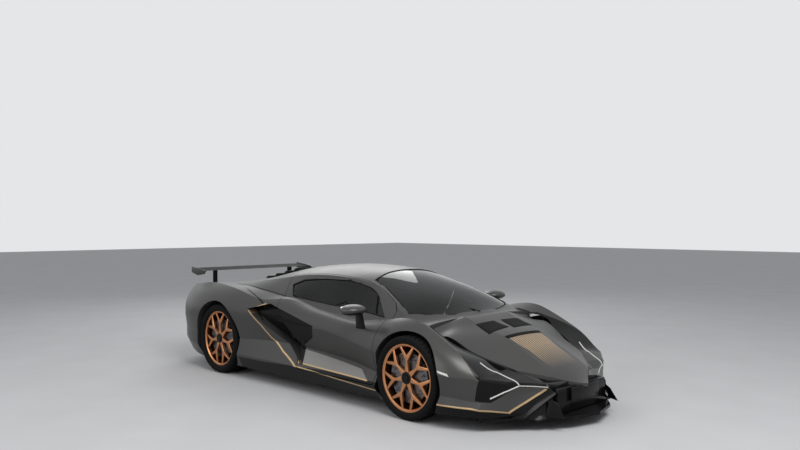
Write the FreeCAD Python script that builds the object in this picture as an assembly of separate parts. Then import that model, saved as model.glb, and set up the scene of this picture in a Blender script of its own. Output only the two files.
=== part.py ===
"""Mid-engined two-seat sports car with scissor doors. Millimetres, +X to the nose, +Y to the left, +Z up.
The origin is on the floor under the middle of the wheelbase."""

import FreeCAD
import Part
import math
import os
from FreeCAD import Vector

# Driving dimensions, written once and kept in the sheet.
SIZES = {
    "wheelbase": 2700.0,
    "front_overhang": 1140.0,
    "rear_overhang": 1140.0,
    "body_width": 2100.0,
    "roof_height": 1133.0,
    "front_tyre_diameter": 660.0,
    "rear_tyre_diameter": 710.0,
    "front_tyre_width": 255.0,
    "rear_tyre_width": 355.0,
    "front_tyre_inset": 60.0,
    "rear_tyre_inset": 32.0,
    "front_rim_diameter": 534.0,
    "rear_rim_diameter": 560.0,
    "arch_gap": 38.0,
    "fender_crown": 67.0,
    "haunch_crown": 147.0,
    "ride_height": 100.0,
    "panel_gap": 0.8,
    "moving_gap": 6.0,
    "seat_clearance": 0.3,
    "fender_wall": 45.0,
    "door_wall": 90.0,
    "roof_wall": 32.0,
    "glass_wall": 5.0,
    "glass_recess": 8.0,
    "bonnet_wall": 26.0,
    "cut_overrun": 60.0,
    "belt_flange": 45.0,
    "floor_wall": 40.0,
    "arch_to_door": 22.0,
    "turn_clearance": 22.0,
    "front_arch_depth": 490.0,
    "rear_arch_depth": 430.0,
    "intake_depth": 90.0,
    "trim_wall": 12.0,
    "scoop_depth": 30.0,
    "tunnel_width": 240.0,
    "tunnel_rise": 200.0,
    "seat_width": 430.0,
    "seat_depth": 640.0,
    "seat_back": 150.0,
    "seat_height": 700.0,
    "cushion_height": 190.0,
    "dash_height": 640.0,
    "dash_drop": 240.0,
    "dash_depth": 230.0,
    "dash_width": 1240.0,
    "column_length": 110.0,
    "steering_wheel_diameter": 350.0,
    "steering_rim": 28.0,
    "column_diameter": 44.0,
    "splitter_drop": 22.0,
    "rim_wall": 16.0,
    "spoke_width": 22.0,
    "spoke_depth": 30.0,
    "hub_diameter": 120.0,
    "disc_diameter": 400.0,
    "disc_thickness": 34.0,
    "disc_inset": 10.0,
    "carrier_depth": 60.0,
    "kingpin_length": 300.0,
    "kingpin_diameter": 30.0,
    "arm_window": 160.0,
    "engine_width": 760.0,
    "engine_height": 480.0,
    "wing_span": 1500.0,
    "wing_chord": 240.0,
    "wing_height": 1035.0,
    "strut_pitch": 1060.0,
    "buffer_diameter": 24.0,
}

DOC = FreeCAD.newDocument("supercar")
SHEET = DOC.addObject("Spreadsheet::Sheet", "sizes")
for row, (alias, value) in enumerate(SIZES.items(), start=1):
    SHEET.set(f"A{row}", alias)
    SHEET.set(f"B{row}", str(value))
    SHEET.setAlias(f"B{row}", alias)
DOC.recompute()


def size(alias):
    return float(SHEET.get(alias))


HALF_WIDTH = size("body_width") / 2
AXLE = size("wheelbase") / 2
ROOF = size("roof_height")
FRONT_CREST = size("front_tyre_diameter") + size("arch_gap") + size("fender_crown")
REAR_CREST = size("rear_tyre_diameter") + size("arch_gap") + size("haunch_crown")
GAP = size("moving_gap")
OVER = size("cut_overrun")
NODES = {}


def along(u):
    """X of station u: 0 is mid wheelbase, +1 and -1 the axles, +2 and -2 the ends of the car."""
    if u > 1:
        return AXLE + (u - 1) * size("front_overhang")
    if u < -1:
        return -AXLE + (u + 1) * size("rear_overhang")
    return u * AXLE


def crest(u):
    """Height of the fender crests at station u, to which the lower body's shares refer."""
    share = (min(max(u, -1), 1) + 1) / 2
    return REAR_CREST + share * (FRONT_CREST - REAR_CREST)


def low(u, y_share, z_share):
    return Vector(along(u), y_share * HALF_WIDTH, z_share * crest(u))


def up(u, y_share, z_share):
    """A point of the upper body: 0 is at the fender crests and 1 at the roof."""
    return Vector(along(u), y_share * HALF_WIDTH, crest(u) + z_share * (ROOF - crest(u)))


def spline(points):
    curve = Part.BSplineCurve()
    curve.interpolate(points)
    return curve.toShape()


def line(a, b):
    return Part.LineSegment(a, b).toShape()


def chain(points, spans):
    """Edges through points. Each span is (first, last): two neighbours give a line, more give a smooth curve."""
    edges = []
    for first, last in spans:
        if last - first == 1:
            edges.append(line(points[first], points[last]))
        else:
            edges.append(spline(points[first:last + 1]))
    return edges


def skin(sections, outer_spans, inner_spans):
    """Solid lofted through closed sections, each a pair of outer and inner point rows."""
    wires = []
    for outer, inner in sections:
        edges = chain(outer, outer_spans)
        edges.append(line(outer[-1], inner[-1]))
        edges += chain(list(reversed(inner)), inner_spans)
        edges.append(line(inner[0], outer[0]))
        wires.append(Part.Wire(edges))
    return Part.makeLoft(wires, True, False)


def prism(points, direction):
    """Closed outline of points, swept along direction."""
    return Part.Face(Part.makePolygon(list(points) + [points[0]])).extrude(direction)


def side_prism(outline, y_from, y_to):
    """Outline of (x, z) points seen from the side, swept across from y_from to y_to."""
    return prism([Vector(x, y_from, z) for x, z in outline], Vector(0, y_to - y_from, 0))


def plan_prism(outline, z_from, z_to):
    """Outline of (x, y) points seen from above, swept up from z_from to z_to."""
    return prism([Vector(x, y, z_from) for x, y in outline], Vector(0, 0, z_to - z_from))


def block(low_corner, high_corner):
    span = high_corner - low_corner
    return Part.makeBox(span.x, span.y, span.z, low_corner)


def mirrored(shape):
    return shape.mirror(Vector(0, 0, 0), Vector(0, 1, 0))


def both_sides(shape):
    return Part.makeCompound([shape, mirrored(shape)])


def facet_slab(corners, facets, depth):
    """Closed solid under a faceted face. Facets are rows of corner numbers, and depth is the vector to its back."""
    faces = []
    edge_uses = {}
    for facet in facets:
        front = [corners[n] for n in facet]
        back = [p + depth for p in front]
        faces.append(Part.Face(Part.makePolygon(front + [front[0]])))
        faces.append(Part.Face(Part.makePolygon(back + [back[0]])))
        for a, b in zip(facet, facet[1:] + facet[:1]):
            edge_uses.setdefault(frozenset((a, b)), []).append((a, b))
    for uses in edge_uses.values():
        if len(uses) == 1:
            a, b = (corners[n] for n in uses[0])
            faces.append(Part.Face(Part.makePolygon([a, b, b + depth, a + depth, a])))
    shell = Part.Shell(faces)
    shell.sewShape()
    solid = Part.Solid(shell)
    if solid.Volume < 0:
        solid.reverse()
    return solid


def largest_of(solids):
    return max(solids, key=lambda solid: solid.Volume)


def keep(name, shape):
    """Stores the finished shape of one sub-part as an object of the document."""
    feature = DOC.addObject("Part::Feature", name)
    feature.Label = name
    feature.Shape = shape
    NODES[name] = feature
    return shape


# Stations (u, rows of (y share, z share)). Rows of the lower body run from the sill to the bonnet edge.
FLANK_SHARES = [
    (1.570, [(0.800, 0.137), (0.829, 0.229), (0.805, 0.294), (0.824, 0.503), (0.819, 0.516), (0.805, 0.525), (0.514, 0.562)]),
    (1.439, [(0.867, 0.137), (0.900, 0.235), (0.881, 0.314), (0.905, 0.523), (0.869, 0.621), (0.810, 0.682), (0.571, 0.634)]),
    (1.307, [(0.905, 0.137), (0.938, 0.242), (0.929, 0.327), (0.957, 0.542), (0.911, 0.706), (0.810, 0.804), (0.624, 0.725)]),
    (1.140, [(0.914, 0.137), (0.952, 0.248), (0.943, 0.340), (0.967, 0.575), (0.919, 0.813), (0.805, 0.925), (0.657, 0.837)]),
    (1.000, [(0.905, 0.137), (0.952, 0.255), (0.938, 0.366), (0.971, 0.601), (0.922, 0.878), (0.800, 1.003), (0.667, 0.931)]),
    (0.833, [(0.886, 0.135), (0.943, 0.258), (0.905, 0.387), (0.957, 0.625), (0.905, 0.870), (0.795, 0.990), (0.671, 0.951)]),
    (0.667, [(0.886, 0.133), (0.938, 0.261), (0.857, 0.407), (0.919, 0.642), (0.862, 0.820), (0.757, 0.918), (0.671, 0.938)]),
    (0.444, [(0.890, 0.131), (0.938, 0.268), (0.810, 0.437), (0.886, 0.680), (0.857, 0.786), (0.735, 0.868), (0.671, 0.893)]),
    (0.178, [(0.895, 0.128), (0.938, 0.275), (0.800, 0.458), (0.871, 0.721), (0.852, 0.800), (0.731, 0.882), (0.671, 0.910)]),
    (-0.119, [(0.900, 0.125), (0.943, 0.281), (0.819, 0.477), (0.890, 0.716), (0.871, 0.824), (0.738, 0.931), (0.614, 0.965)]),
    (-0.296, [(0.905, 0.124), (0.952, 0.283), (0.857, 0.483), (0.905, 0.706), (0.895, 0.830), (0.781, 0.963), (0.624, 1.012)]),
    (-0.496, [(0.914, 0.122), (0.962, 0.278), (0.905, 0.475), (0.938, 0.673), (0.933, 0.818), (0.862, 0.928), (0.667, 1.019)]),
    (-0.667, [(0.919, 0.126), (0.971, 0.275), (0.938, 0.458), (0.962, 0.641), (0.955, 0.824), (0.878, 0.953), (0.676, 1.025)]),
    (-0.844, [(0.924, 0.124), (0.981, 0.271), (0.962, 0.441), (0.986, 0.622), (0.973, 0.842), (0.862, 0.988), (0.662, 1.026)]),
    (-1.000, [(0.924, 0.128), (0.986, 0.268), (0.976, 0.425), (1.000, 0.603), (0.973, 0.855), (0.838, 0.998), (0.643, 1.011)]),
    (-1.237, [(0.914, 0.134), (0.981, 0.279), (0.976, 0.425), (0.996, 0.598), (0.954, 0.872), (0.795, 1.011), (0.610, 1.004)]),
    (-1.482, [(0.886, 0.156), (0.952, 0.302), (0.948, 0.425), (0.967, 0.598), (0.910, 0.860), (0.752, 1.000), (0.571, 0.986)]),
    (-1.702, [(0.819, 0.223), (0.871, 0.346), (0.871, 0.447), (0.890, 0.603), (0.838, 0.844), (0.719, 0.972), (0.533, 0.958)]),
    (-1.860, [(0.733, 0.291), (0.771, 0.391), (0.771, 0.480), (0.790, 0.620), (0.752, 0.816), (0.667, 0.944), (0.495, 0.937)]),
]
NOSE_SHARES = [
    (1.570, [(0.800, 0.137), (0.829, 0.229), (0.805, 0.294), (0.824, 0.503), (0.819, 0.516), (0.805, 0.525), (0.514, 0.562)]),
    (1.675, [(0.610, 0.124), (0.657, 0.196), (0.657, 0.340), (0.667, 0.458), (0.657, 0.473), (0.638, 0.484), (0.381, 0.497)]),
    (1.754, [(0.533, 0.118), (0.533, 0.170), (0.457, 0.366), (0.448, 0.425), (0.419, 0.435), (0.400, 0.439), (0.286, 0.442)]),
    (1.833, [(0.476, 0.111), (0.429, 0.144), (0.286, 0.314), (0.276, 0.399), (0.267, 0.408), (0.257, 0.412), (0.139, 0.431)]),
]
BONNET_SHARES = [
    (0.988, [(0.686, 0.925), (0.286, 0.969), (0.000, 0.977)]),
    (1.132, [(0.686, 0.837), (0.259, 0.920), (0.000, 0.928)]),
    (1.307, [(0.686, 0.707), (0.233, 0.839), (0.000, 0.852)]),
    (1.439, [(0.686, 0.592), (0.229, 0.761), (0.000, 0.774)]),
    (1.570, [(0.686, 0.502), (0.233, 0.660), (0.000, 0.676)]),
    (1.675, [(0.686, 0.392), (0.238, 0.575), (0.000, 0.595)]),
    (1.754, [(0.686, 0.314), (0.240, 0.497), (0.000, 0.525)]),
    (1.939, [(0.686, 0.235), (0.229, 0.353), (0.000, 0.405)]),
]
UPPER_SHARES = [
    (0.993, [(0.667, -0.146), (0.590, -0.113), (0.333, -0.064), (0.000, -0.042)]),
    (0.822, [(0.703, -0.117), (0.667, -0.046), (0.362, 0.212), (0.000, 0.296)]),
    (0.667, [(0.716, -0.207), (0.610, 0.183), (0.324, 0.486), (0.000, 0.587)]),
    (0.481, [(0.721, -0.319), (0.522, 0.438), (0.276, 0.707), (0.000, 0.806)]),
    (0.289, [(0.724, -0.321), (0.481, 0.618), (0.276, 0.854), (0.000, 0.922)]),
    (0.074, [(0.726, -0.277), (0.495, 0.698), (0.286, 0.912), (0.000, 0.977)]),
    (-0.148, [(0.728, -0.183), (0.512, 0.703), (0.295, 0.935), (0.000, 1.000)]),
    (-0.333, [(0.743, -0.056), (0.533, 0.641), (0.310, 0.890), (0.000, 0.961)]),
    (-0.533, [(0.729, 0.012), (0.571, 0.489), (0.329, 0.765), (0.000, 0.847)]),
    (-0.667, [(0.733, 0.045), (0.581, 0.380), (0.333, 0.626), (0.000, 0.711)]),
    (-0.844, [(0.719, 0.069), (0.583, 0.238), (0.333, 0.403), (0.000, 0.484)]),
    (-1.044, [(0.694, 0.034), (0.579, 0.084), (0.333, 0.181), (0.000, 0.231)]),
    (-1.289, [(0.661, 0.013), (0.571, -0.029), (0.329, -0.021), (0.000, 0.004)]),
    (-1.482, [(0.629, -0.042), (0.552, -0.113), (0.324, -0.126), (0.000, -0.113)]),
    (-1.702, [(0.590, -0.147), (0.495, -0.189), (0.305, -0.189), (0.000, -0.181)]),
    (-1.860, [(0.552, -0.231), (0.457, -0.239), (0.286, -0.239), (0.000, -0.239)]),
]


# Body masters
INNER_SHARE = 0.476
REBATE_SHARE = 0.06


def flank_row(u, shares):
    """Closed section of one side of the lower body."""
    row = [low(u, y, z) for y, z in shares]
    top = shares[-1]
    row.append(low(u, top[0], top[1] - REBATE_SHARE))
    row.append(low(u, INNER_SHARE, top[1] - REBATE_SHARE))
    row.append(low(u, INNER_SHARE, shares[0][1]))
    return row


def nose_row(u, shares):
    """Closed section of one half of the nose, reaching the middle of the car."""
    row = [low(u, y, z) for y, z in shares]
    top = shares[-1]
    row.append(low(u, top[0], top[1] - REBATE_SHARE))
    row.append(low(u, 0, top[1] - REBATE_SHARE))
    row.append(low(u, 0, shares[0][1]))
    return row


def loft_rows(rows, spans, ruled=False):
    return Part.makeLoft([Part.Wire(chain(row + [row[0]], spans)) for row in rows], True, ruled)


def inset(row, depth):
    """Row of section points moved to the inside by depth, square to the section line."""
    result = []
    for n, point in enumerate(row):
        normals = []
        for a, b in ((row[max(n - 1, 0)], point), (point, row[min(n + 1, len(row) - 1)])):
            if (b - a).Length > 0:
                step = (b - a).normalize()
                normals.append(Vector(0, step.z, -step.y))
        total = normals[0] + normals[-1]
        result.append(point + total * (2 * depth / total.dot(total)))
    return result


def half_to_full(left):
    """Line from the right edge over the middle to the left edge, from the left half given edge first."""
    return [Vector(p.x, -p.y, p.z) for p in left[:-1]] + list(reversed(left))


def skin_between(rows, spans, outer_depth, inner_depth):
    """Solid between the rows moved in by outer_depth and by inner_depth."""
    wires = []
    for row in rows:
        outer = inset(row, outer_depth)
        inner = list(reversed(inset(row, inner_depth)))
        edges = chain(outer, spans) + [line(outer[-1], inner[0])]
        edges += chain(inner, spans) + [line(inner[-1], outer[0])]
        wires.append(Part.Wire(edges))
    return Part.makeLoft(wires, True, False)


FLANK_SPANS = [(0, 1), (1, 2), (2, 3), (3, 5), (5, 6), (6, 7), (7, 8), (8, 9), (9, 10)]
UPPER_SPANS = [(0, 1), (1, 2), (2, 6), (6, 7), (7, 8)]
BONNET_SPANS = [(0, 1), (1, 3), (3, 4)]



def moved_copy(shape, move):
    copy = shape.copy()
    copy.translate(move)
    return copy


flank_full = loft_rows([flank_row(u, shares) for u, shares in FLANK_SHARES], FLANK_SPANS)
nose_half = loft_rows([nose_row(u, shares) for u, shares in NOSE_SHARES], FLANK_SPANS, True)


def upper_row(u, shares):
    """Line across the roof and deck, with a flange down at both belts."""
    left = [up(u, y, z) for y, z in shares]
    return half_to_full([left[0] - Vector(0, 0, size("belt_flange"))] + left)


upper_rows = [upper_row(u, shares) for u, shares in UPPER_SHARES]
upper_skin = skin_between(upper_rows, UPPER_SPANS, 0, size("roof_wall"))
upper_glass = skin_between(upper_rows, UPPER_SPANS, size("glass_recess"),
                           size("glass_recess") + size("glass_wall"))
hull_wires = [Part.Wire(chain(row, UPPER_SPANS) + [line(row[-1], row[0])]) for row in upper_rows]
upper_hull = Part.makeLoft(hull_wires, True, False)


bonnet_rows = [half_to_full([low(u, y, z) for y, z in shares]) for u, shares in BONNET_SHARES]
bonnet_skin = skin_between(bonnet_rows, BONNET_SPANS, 0, size("bonnet_wall"))


# Regions of the car, seen from the side (x, z) and from above (x, y)
LOW = -size("cut_overrun")
HIGH = ROOF + size("cut_overrun")
WIDE = HALF_WIDTH + size("cut_overrun")
CABIN_HALF_SHARE = 0.648
SILL_SHARE = 0.29
FLOOR_SHARE = 0.137


def side_point(u, z_share):
    return along(u), z_share * crest(u)


def plan_point(u, y_share):
    return along(u), y_share * HALF_WIDTH


CABIN_HALF = CABIN_HALF_SHARE * HALF_WIDTH
CABIN_FRONT = along(0.785)
CABIN_REAR = along(-0.46)
FLOOR_TOP = size("ride_height") + size("floor_wall")
DOOR_FRONT = AXLE - size("front_tyre_diameter") / 2 - size("arch_gap") - size("arch_to_door")
SILL_TOP = SILL_SHARE * FRONT_CREST
front_arch = Part.makeCylinder(size("front_tyre_diameter") / 2 + size("arch_gap"), WIDE,
                               Vector(AXLE, HALF_WIDTH - size("front_arch_depth"), size("front_tyre_diameter") / 2),
                               Vector(0, 1, 0))
rear_arch = Part.makeCylinder(size("rear_tyre_diameter") / 2 + size("arch_gap"), WIDE,
                              Vector(-AXLE, HALF_WIDTH - size("rear_arch_depth"), size("rear_tyre_diameter") / 2),
                              Vector(0, 1, 0))
cabin = block(Vector(CABIN_REAR, -CABIN_HALF, FLOOR_TOP), Vector(CABIN_FRONT, CABIN_HALF, HIGH))

# Door outline from its front edge at the sill, clockwise seen from the left
DOOR_REAR_SHARES = [(-0.245, 0.711), (-0.335, 0.93), (-0.43, 1.11), (-0.455, 1.17)]
DOOR_FOOT_SHARE = -0.015
door_side = [(DOOR_FRONT, SILL_TOP), (along(DOOR_FOOT_SHARE), SILL_TOP)] + [side_point(u, z) for u, z in DOOR_REAR_SHARES]
door_side += [(along(DOOR_REAR_SHARES[-1][0]), HIGH), (DOOR_FRONT, HIGH)]
RAIL_CUT_SHARES = [(0.75, 0.655), (0.667, 0.602), (0.481, 0.512), (0.289, 0.468), (0.074, 0.478),
                   (-0.148, 0.495), (-0.333, 0.516), (-0.50, 0.55)]
door_plan = [plan_point(u, y) for u, y in RAIL_CUT_SHARES]
door_plan += [(along(-0.50), WIDE), (DOOR_FRONT, WIDE), (DOOR_FRONT, RAIL_CUT_SHARES[0][1] * HALF_WIDTH)]
door_plan = [(min(x, DOOR_FRONT), y) for x, y in door_plan[1:]]
door_zone = side_prism(door_side, 0, WIDE).common(plan_prism(door_plan, LOW, HIGH))


def grown(outline, distance):
    """Closed outline in the plane, moved outward by distance."""
    wire = Part.makePolygon([Vector(a, b, 0) for a, b in outline] + [Vector(outline[0][0], outline[0][1], 0)])
    moved = Part.Face(wire).makeOffset2D(distance, 2)
    points = [vertex.Point for vertex in moved.OuterWire.OrderedVertexes]
    return [(p.x, p.y) for p in points]


door_opening = side_prism(grown(door_side, GAP), 0, WIDE).common(plan_prism(grown(door_plan, GAP), LOW, HIGH))

# Side window seen from the side
WINDOW_SHARES = [(0.64, 0.935), (0.30, 0.95), (0.05, 0.96), (-0.12, 0.97), (-0.29, 0.985),
                 (-0.38, 1.10), (-0.30, 1.165), (-0.10, 1.21), (0.14, 1.235), (0.34, 1.20), (0.47, 1.13)]
window_zone = side_prism([side_point(u, z) for u, z in WINDOW_SHARES], 0, WIDE)

# Windscreen seen from above, from the middle of its base to the middle of its top edge
WINDSCREEN_SHARES = [(0.955, 0), (0.94, 0.28), (0.88, 0.50), (0.80, 0.63), (0.667, 0.565), (0.481, 0.478),
                     (0.33, 0.438), (0.31, 0.25), (0.305, 0)]
screen_half = [plan_point(u, y) for u, y in WINDSCREEN_SHARES]
screen_plan = screen_half + [(x, -y) for x, y in reversed(screen_half[1:-1])]
screen_zone = plan_prism(screen_plan, LOW, HIGH)

# Engine cover seen from above
COVER_SHARES = [(-0.545, 0), (-0.545, 0.50), (-1.0, 0.49), (-1.30, 0.47), (-1.30, 0)]
cover_half = [plan_point(u, y) for u, y in COVER_SHARES]
cover_plan = cover_half + [(x, -y) for x, y in reversed(cover_half[1:-1])]

# Black side intake and the split of the rear quarter, seen from the side
INTAKE_SHARES = [(-0.607, 0.81), (-0.40, 0.90), (0.081, 0.743), (0.052, 0.605), (-0.06, 0.50), (0.015, 0.31), (-0.015, 0.31)]
intake_side = [side_point(u, z) for u, z in INTAKE_SHARES]
intake_zone = side_prism(intake_side, 0, WIDE)

# Lower body pieces of the left side
flank = flank_full
for tool in (front_arch, rear_arch, cabin, upper_hull):
    flank = flank.cut(tool)
sill_zone = block(Vector(size("rear_tyre_diameter") / 2 + size("arch_gap") - AXLE, 0, LOW),
                  Vector(AXLE - size("front_tyre_diameter") / 2 - size("arch_gap"), WIDE, SILL_TOP - GAP))
door_lower = flank.common(door_zone)
door_upper = upper_skin.common(door_zone).cut(window_zone)
side = flank.cut(door_opening)
sill = side.common(sill_zone)
side = side.cut(sill_zone)
scoop_block = door_lower.common(intake_zone)
scoop = scoop_block.common(moved_copy(scoop_block, Vector(0, -size("scoop_depth"), 0)))
door_lower = door_lower.cut(intake_zone)
intake_block = side.common(intake_zone)
side = side.cut(intake_zone)
intake = intake_block.common(moved_copy(intake_block, Vector(0, -size("intake_depth"), 0)))
front_side = largest_of([solid for solid in side.Solids if solid.CenterOfMass.x > 0])
rear_side = largest_of([solid for solid in side.Solids if solid.CenterOfMass.x < 0])
bumper_zone = side_prism([side_point(1, 0), side_point(1.7, 0), side_point(1.7, 0.507), side_point(1, 0.53)], 0, WIDE)
tail_zone = block(Vector(along(-2), 0, LOW), Vector(along(-1.60), WIDE, HIGH))
fender = front_side.cut(bumper_zone)
bumper_side = front_side.common(bumper_zone)
quarter = rear_side.cut(tail_zone)
tail_side = rear_side.common(tail_zone)
glass = upper_glass.common(window_zone).common(door_zone)
screen = upper_glass.common(screen_zone)
shell = upper_skin.cut(screen_zone)
roof = shell.cut(door_opening).cut(mirrored(door_opening))
cover = roof.common(plan_prism(cover_plan, LOW, HIGH))
roof = roof.cut(plan_prism(grown(cover_plan, GAP), LOW, HIGH))
BONNET_TIP = (1.908, 0)
edge_shares = [(u, shares[-1][0]) for u, shares in reversed(FLANK_SHARES) if u >= 1.0]
edge_shares += [(u, shares[-1][0]) for u, shares in NOSE_SHARES[1:]]
bonnet_half = [plan_point(u, y) for u, y in edge_shares]
bonnet_edge = [(bonnet_half[0][0], 0)] + [(x, y - GAP) for x, y in bonnet_half]
bonnet_edge += [plan_point(*BONNET_TIP)]
bonnet_outline = bonnet_edge + [(x, -y) for x, y in reversed(bonnet_edge[1:-1])]
bonnet = bonnet_skin.common(plan_prism(bonnet_outline, LOW, HIGH))
turning_space = Part.makeSphere(size("front_tyre_diameter") / 2 + size("turn_clearance"),
                                Vector(AXLE, HALF_WIDTH - size("front_tyre_inset") - size("front_tyre_width") / 2,
                                       size("front_tyre_diameter") / 2))
bonnet = bonnet.cut(turning_space).cut(mirrored(turning_space))


# Splitter seen from above, half outline from the middle of its front edge
SPLITTER_SHARES = [(2, 0), (1.94, 0.26), (1.73, 0.56), (1.56, 0.80), (1.56, 0)]

# Moving and fixed panels
def add(name, shape):
    """Keeps shape under name, as its solids alone."""
    solids = [solid for solid in shape.Solids if solid.Volume > size("panel_gap") ** 3 * 1000]
    return keep(name, solids[0] if len(solids) == 1 else Part.makeCompound(solids))


def box_between(x0, x1, y0, y1, z0, z1):
    return block(Vector(x0, y0, z0), Vector(x1, y1, z1))


def rod(start, end, radius):
    return Part.makeCylinder(radius, (end - start).Length, start, end - start)


def fused(*shapes):
    result = shapes[0]
    for shape in shapes[1:]:
        result = result.fuse(shape)
    return result.removeSplitter()


SEAT = size("seat_clearance")
INNER = INNER_SHARE * HALF_WIDTH - SEAT
WALL = size("floor_wall")
SKIN = size("trim_wall")
bumper_half = bumper_side.fuse(nose_half)
bumper = bumper_half.fuse(mirrored(bumper_half)).removeSplitter()
add("front_bumper", bumper)
add("front_fenders", both_sides(fender.cut(roof)))
add("rear_quarters", both_sides(quarter))
add("side_intakes", both_sides(intake))
splitter_half = [plan_point(u, y) for u, y in SPLITTER_SHARES]
splitter_plan = splitter_half + [(x, -y) for x, y in reversed(splitter_half[1:-1])]
splitter = plan_prism(splitter_plan, size("ride_height") - size("splitter_drop"), size("ride_height") - SEAT).cut(bumper)
add("front_splitter", splitter)
add("roof_frame", roof.cut(quarter).cut(mirrored(quarter)))
add("windscreen", screen)
add("bonnet", bonnet)
add("engine_cover", cover)
for label, shape in (("door", door_lower), ("door_frame", door_upper), ("door_scoop", scoop)):
    add(label + "_left", shape)
    add(label + "_right", mirrored(shape))
add("door_glass_left", glass)
add("door_glass_right", mirrored(glass))

# Sill with the seal that the door rests on
seal_half = box_between(along(0.05), DOOR_FRONT - WALL, CABIN_HALF + SKIN, CABIN_HALF + SKIN + WALL, SILL_TOP - GAP, SILL_TOP - SEAT)
add("side_sills", both_sides(sill))
add("door_seals", both_sides(seal_half))

# Chassis
RIDE = size("ride_height") + size("panel_gap") + WALL / 2
BULKHEAD_SHARE = 0.90
FRONT_BULKHEAD_SHARE = 0.80
FRONT_RAIL_SHARE = 0.46
REAR_RAIL_SHARE = 0.60
NOSE_END = along(1.56)
TAIL_END = along(-1.80)
floor = box_between(TAIL_END, NOSE_END, -INNER, INNER, RIDE, FLOOR_TOP)
cabin_floor = box_between(CABIN_REAR, CABIN_FRONT, -CABIN_HALF + SEAT, CABIN_HALF - SEAT, FLOOR_TOP, FLOOR_TOP + WALL / 2)
rear_wall = box_between(CABIN_REAR + SEAT, CABIN_REAR + WALL, -CABIN_HALF + SEAT, CABIN_HALF - SEAT,
                        FLOOR_TOP, BULKHEAD_SHARE * REAR_CREST)
front_wall = box_between(CABIN_FRONT - WALL, CABIN_FRONT - SEAT, -CABIN_HALF + SEAT, CABIN_HALF - SEAT,
                         FLOOR_TOP, FRONT_BULKHEAD_SHARE * FRONT_CREST)
tunnel = box_between(CABIN_REAR, CABIN_FRONT, -size("tunnel_width") / 2, size("tunnel_width") / 2,
                     FLOOR_TOP, FLOOR_TOP + size("tunnel_rise"))
rails = []
for side_sign in (1, -1):
    for x0, x1, top in ((CABIN_FRONT, NOSE_END, FRONT_RAIL_SHARE * FRONT_CREST), (TAIL_END, CABIN_REAR, REAR_RAIL_SHARE * REAR_CREST)):
        y0, y1 = sorted((side_sign * (INNER - WALL), side_sign * INNER))
        rails.append(box_between(x0 - WALL, x1 + WALL / 2, y0, y1, FLOOR_TOP - WALL / 2, top))
tub = fused(floor, cabin_floor, rear_wall, front_wall, tunnel, *rails)
tub = tub.cut(nose_half).cut(mirrored(nose_half))
add("chassis_tub", tub)

# Seats, dashboard and steering wheel
SEAT_Y = size("tunnel_width") / 2 + size("seat_width") / 2 + SKIN
SEAT_BASE = FLOOR_TOP + WALL / 2
seat_x0 = CABIN_REAR + WALL + SEAT
seat_side = [(seat_x0, SEAT_BASE), (seat_x0 + size("seat_depth"), SEAT_BASE),
             (seat_x0 + size("seat_depth"), SEAT_BASE + size("cushion_height")),
             (seat_x0 + size("seat_back") * 2, SEAT_BASE + size("cushion_height") * 0.72),
             (seat_x0 + size("seat_back"), SEAT_BASE + size("seat_height")), (seat_x0, SEAT_BASE + size("seat_height"))]
seat_one = side_prism(seat_side, SEAT_Y - size("seat_width") / 2, SEAT_Y + size("seat_width") / 2)
add("seats", both_sides(seat_one))
DASH_TOP = size("dash_height")
dash_side = [(CABIN_FRONT - WALL, DASH_TOP - size("dash_drop")), (CABIN_FRONT - WALL, DASH_TOP),
             (CABIN_FRONT - WALL - size("dash_depth") * 0.6, DASH_TOP), (CABIN_FRONT - WALL - size("dash_depth"), DASH_TOP - size("dash_drop") / 2),
             (CABIN_FRONT - WALL - size("dash_depth") * 0.8, DASH_TOP - size("dash_drop"))]
dash_half = size("dash_width") / 2
dash = side_prism(dash_side, -dash_half, dash_half)
wheel_x = CABIN_FRONT - WALL - size("dash_depth") - size("column_length")
column_low = Vector(CABIN_FRONT - WALL - size("dash_depth") * 0.7, SEAT_Y, DASH_TOP - size("dash_drop") / 2)
column_top = Vector(wheel_x, SEAT_Y, DASH_TOP - size("dash_drop") / 4)
column_way = (column_top - column_low).normalize()
ring = Part.makeTorus(size("steering_wheel_diameter") / 2, size("steering_rim") / 2, column_top, column_way)
spokes = [rod(column_top - column_way * SKIN, column_top + column_way * SKIN, size("steering_rim") * 2)]
across = Vector(0, size("steering_wheel_diameter") / 2, 0)
spokes.append(rod(column_top - across, column_top + across, size("steering_rim") / 3))
column = rod(column_low, column_top, size("column_diameter") / 2)
add("steering_wheel", fused(ring, *spokes, column))
dash_bore = rod(column_low - column_way * SEAT, column_top, size("column_diameter") / 2 + SEAT)
add("dashboard", dash.cut(dash_bore))

# Wheels, standing at their centres
FRONT_R = size("front_tyre_diameter") / 2
REAR_R = size("rear_tyre_diameter") / 2
FRONT_Y = HALF_WIDTH - size("front_tyre_inset") - size("front_tyre_width") / 2
REAR_Y = HALF_WIDTH - size("rear_tyre_inset") - size("rear_tyre_width") / 2
front_hub = Vector(AXLE, FRONT_Y, FRONT_R)
rear_hub = Vector(-AXLE, REAR_Y, REAR_R)


def revolve_profile(points, centre):
    """Ring about the Y line through centre, from points (radius, y from centre)."""
    vectors = [centre + Vector(r, y, 0) for r, y in points]
    face = Part.Face(Part.makePolygon(vectors + [vectors[0]]))
    return face.revolve(centre, Vector(0, 1, 0), 360)


def tyre_ring(centre, outer, width, bead):
    half = width / 2
    wall = outer - bead
    points = [(bead, half * 0.86), (bead + wall * 0.25, half * 0.98), (bead + wall * 0.55, half), (outer - wall * 0.16, half * 0.93),
              (outer - wall * 0.04, half * 0.82), (outer, half * 0.62)]
    return revolve_profile(points + [(r, -y) for r, y in reversed(points)], centre)


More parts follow.
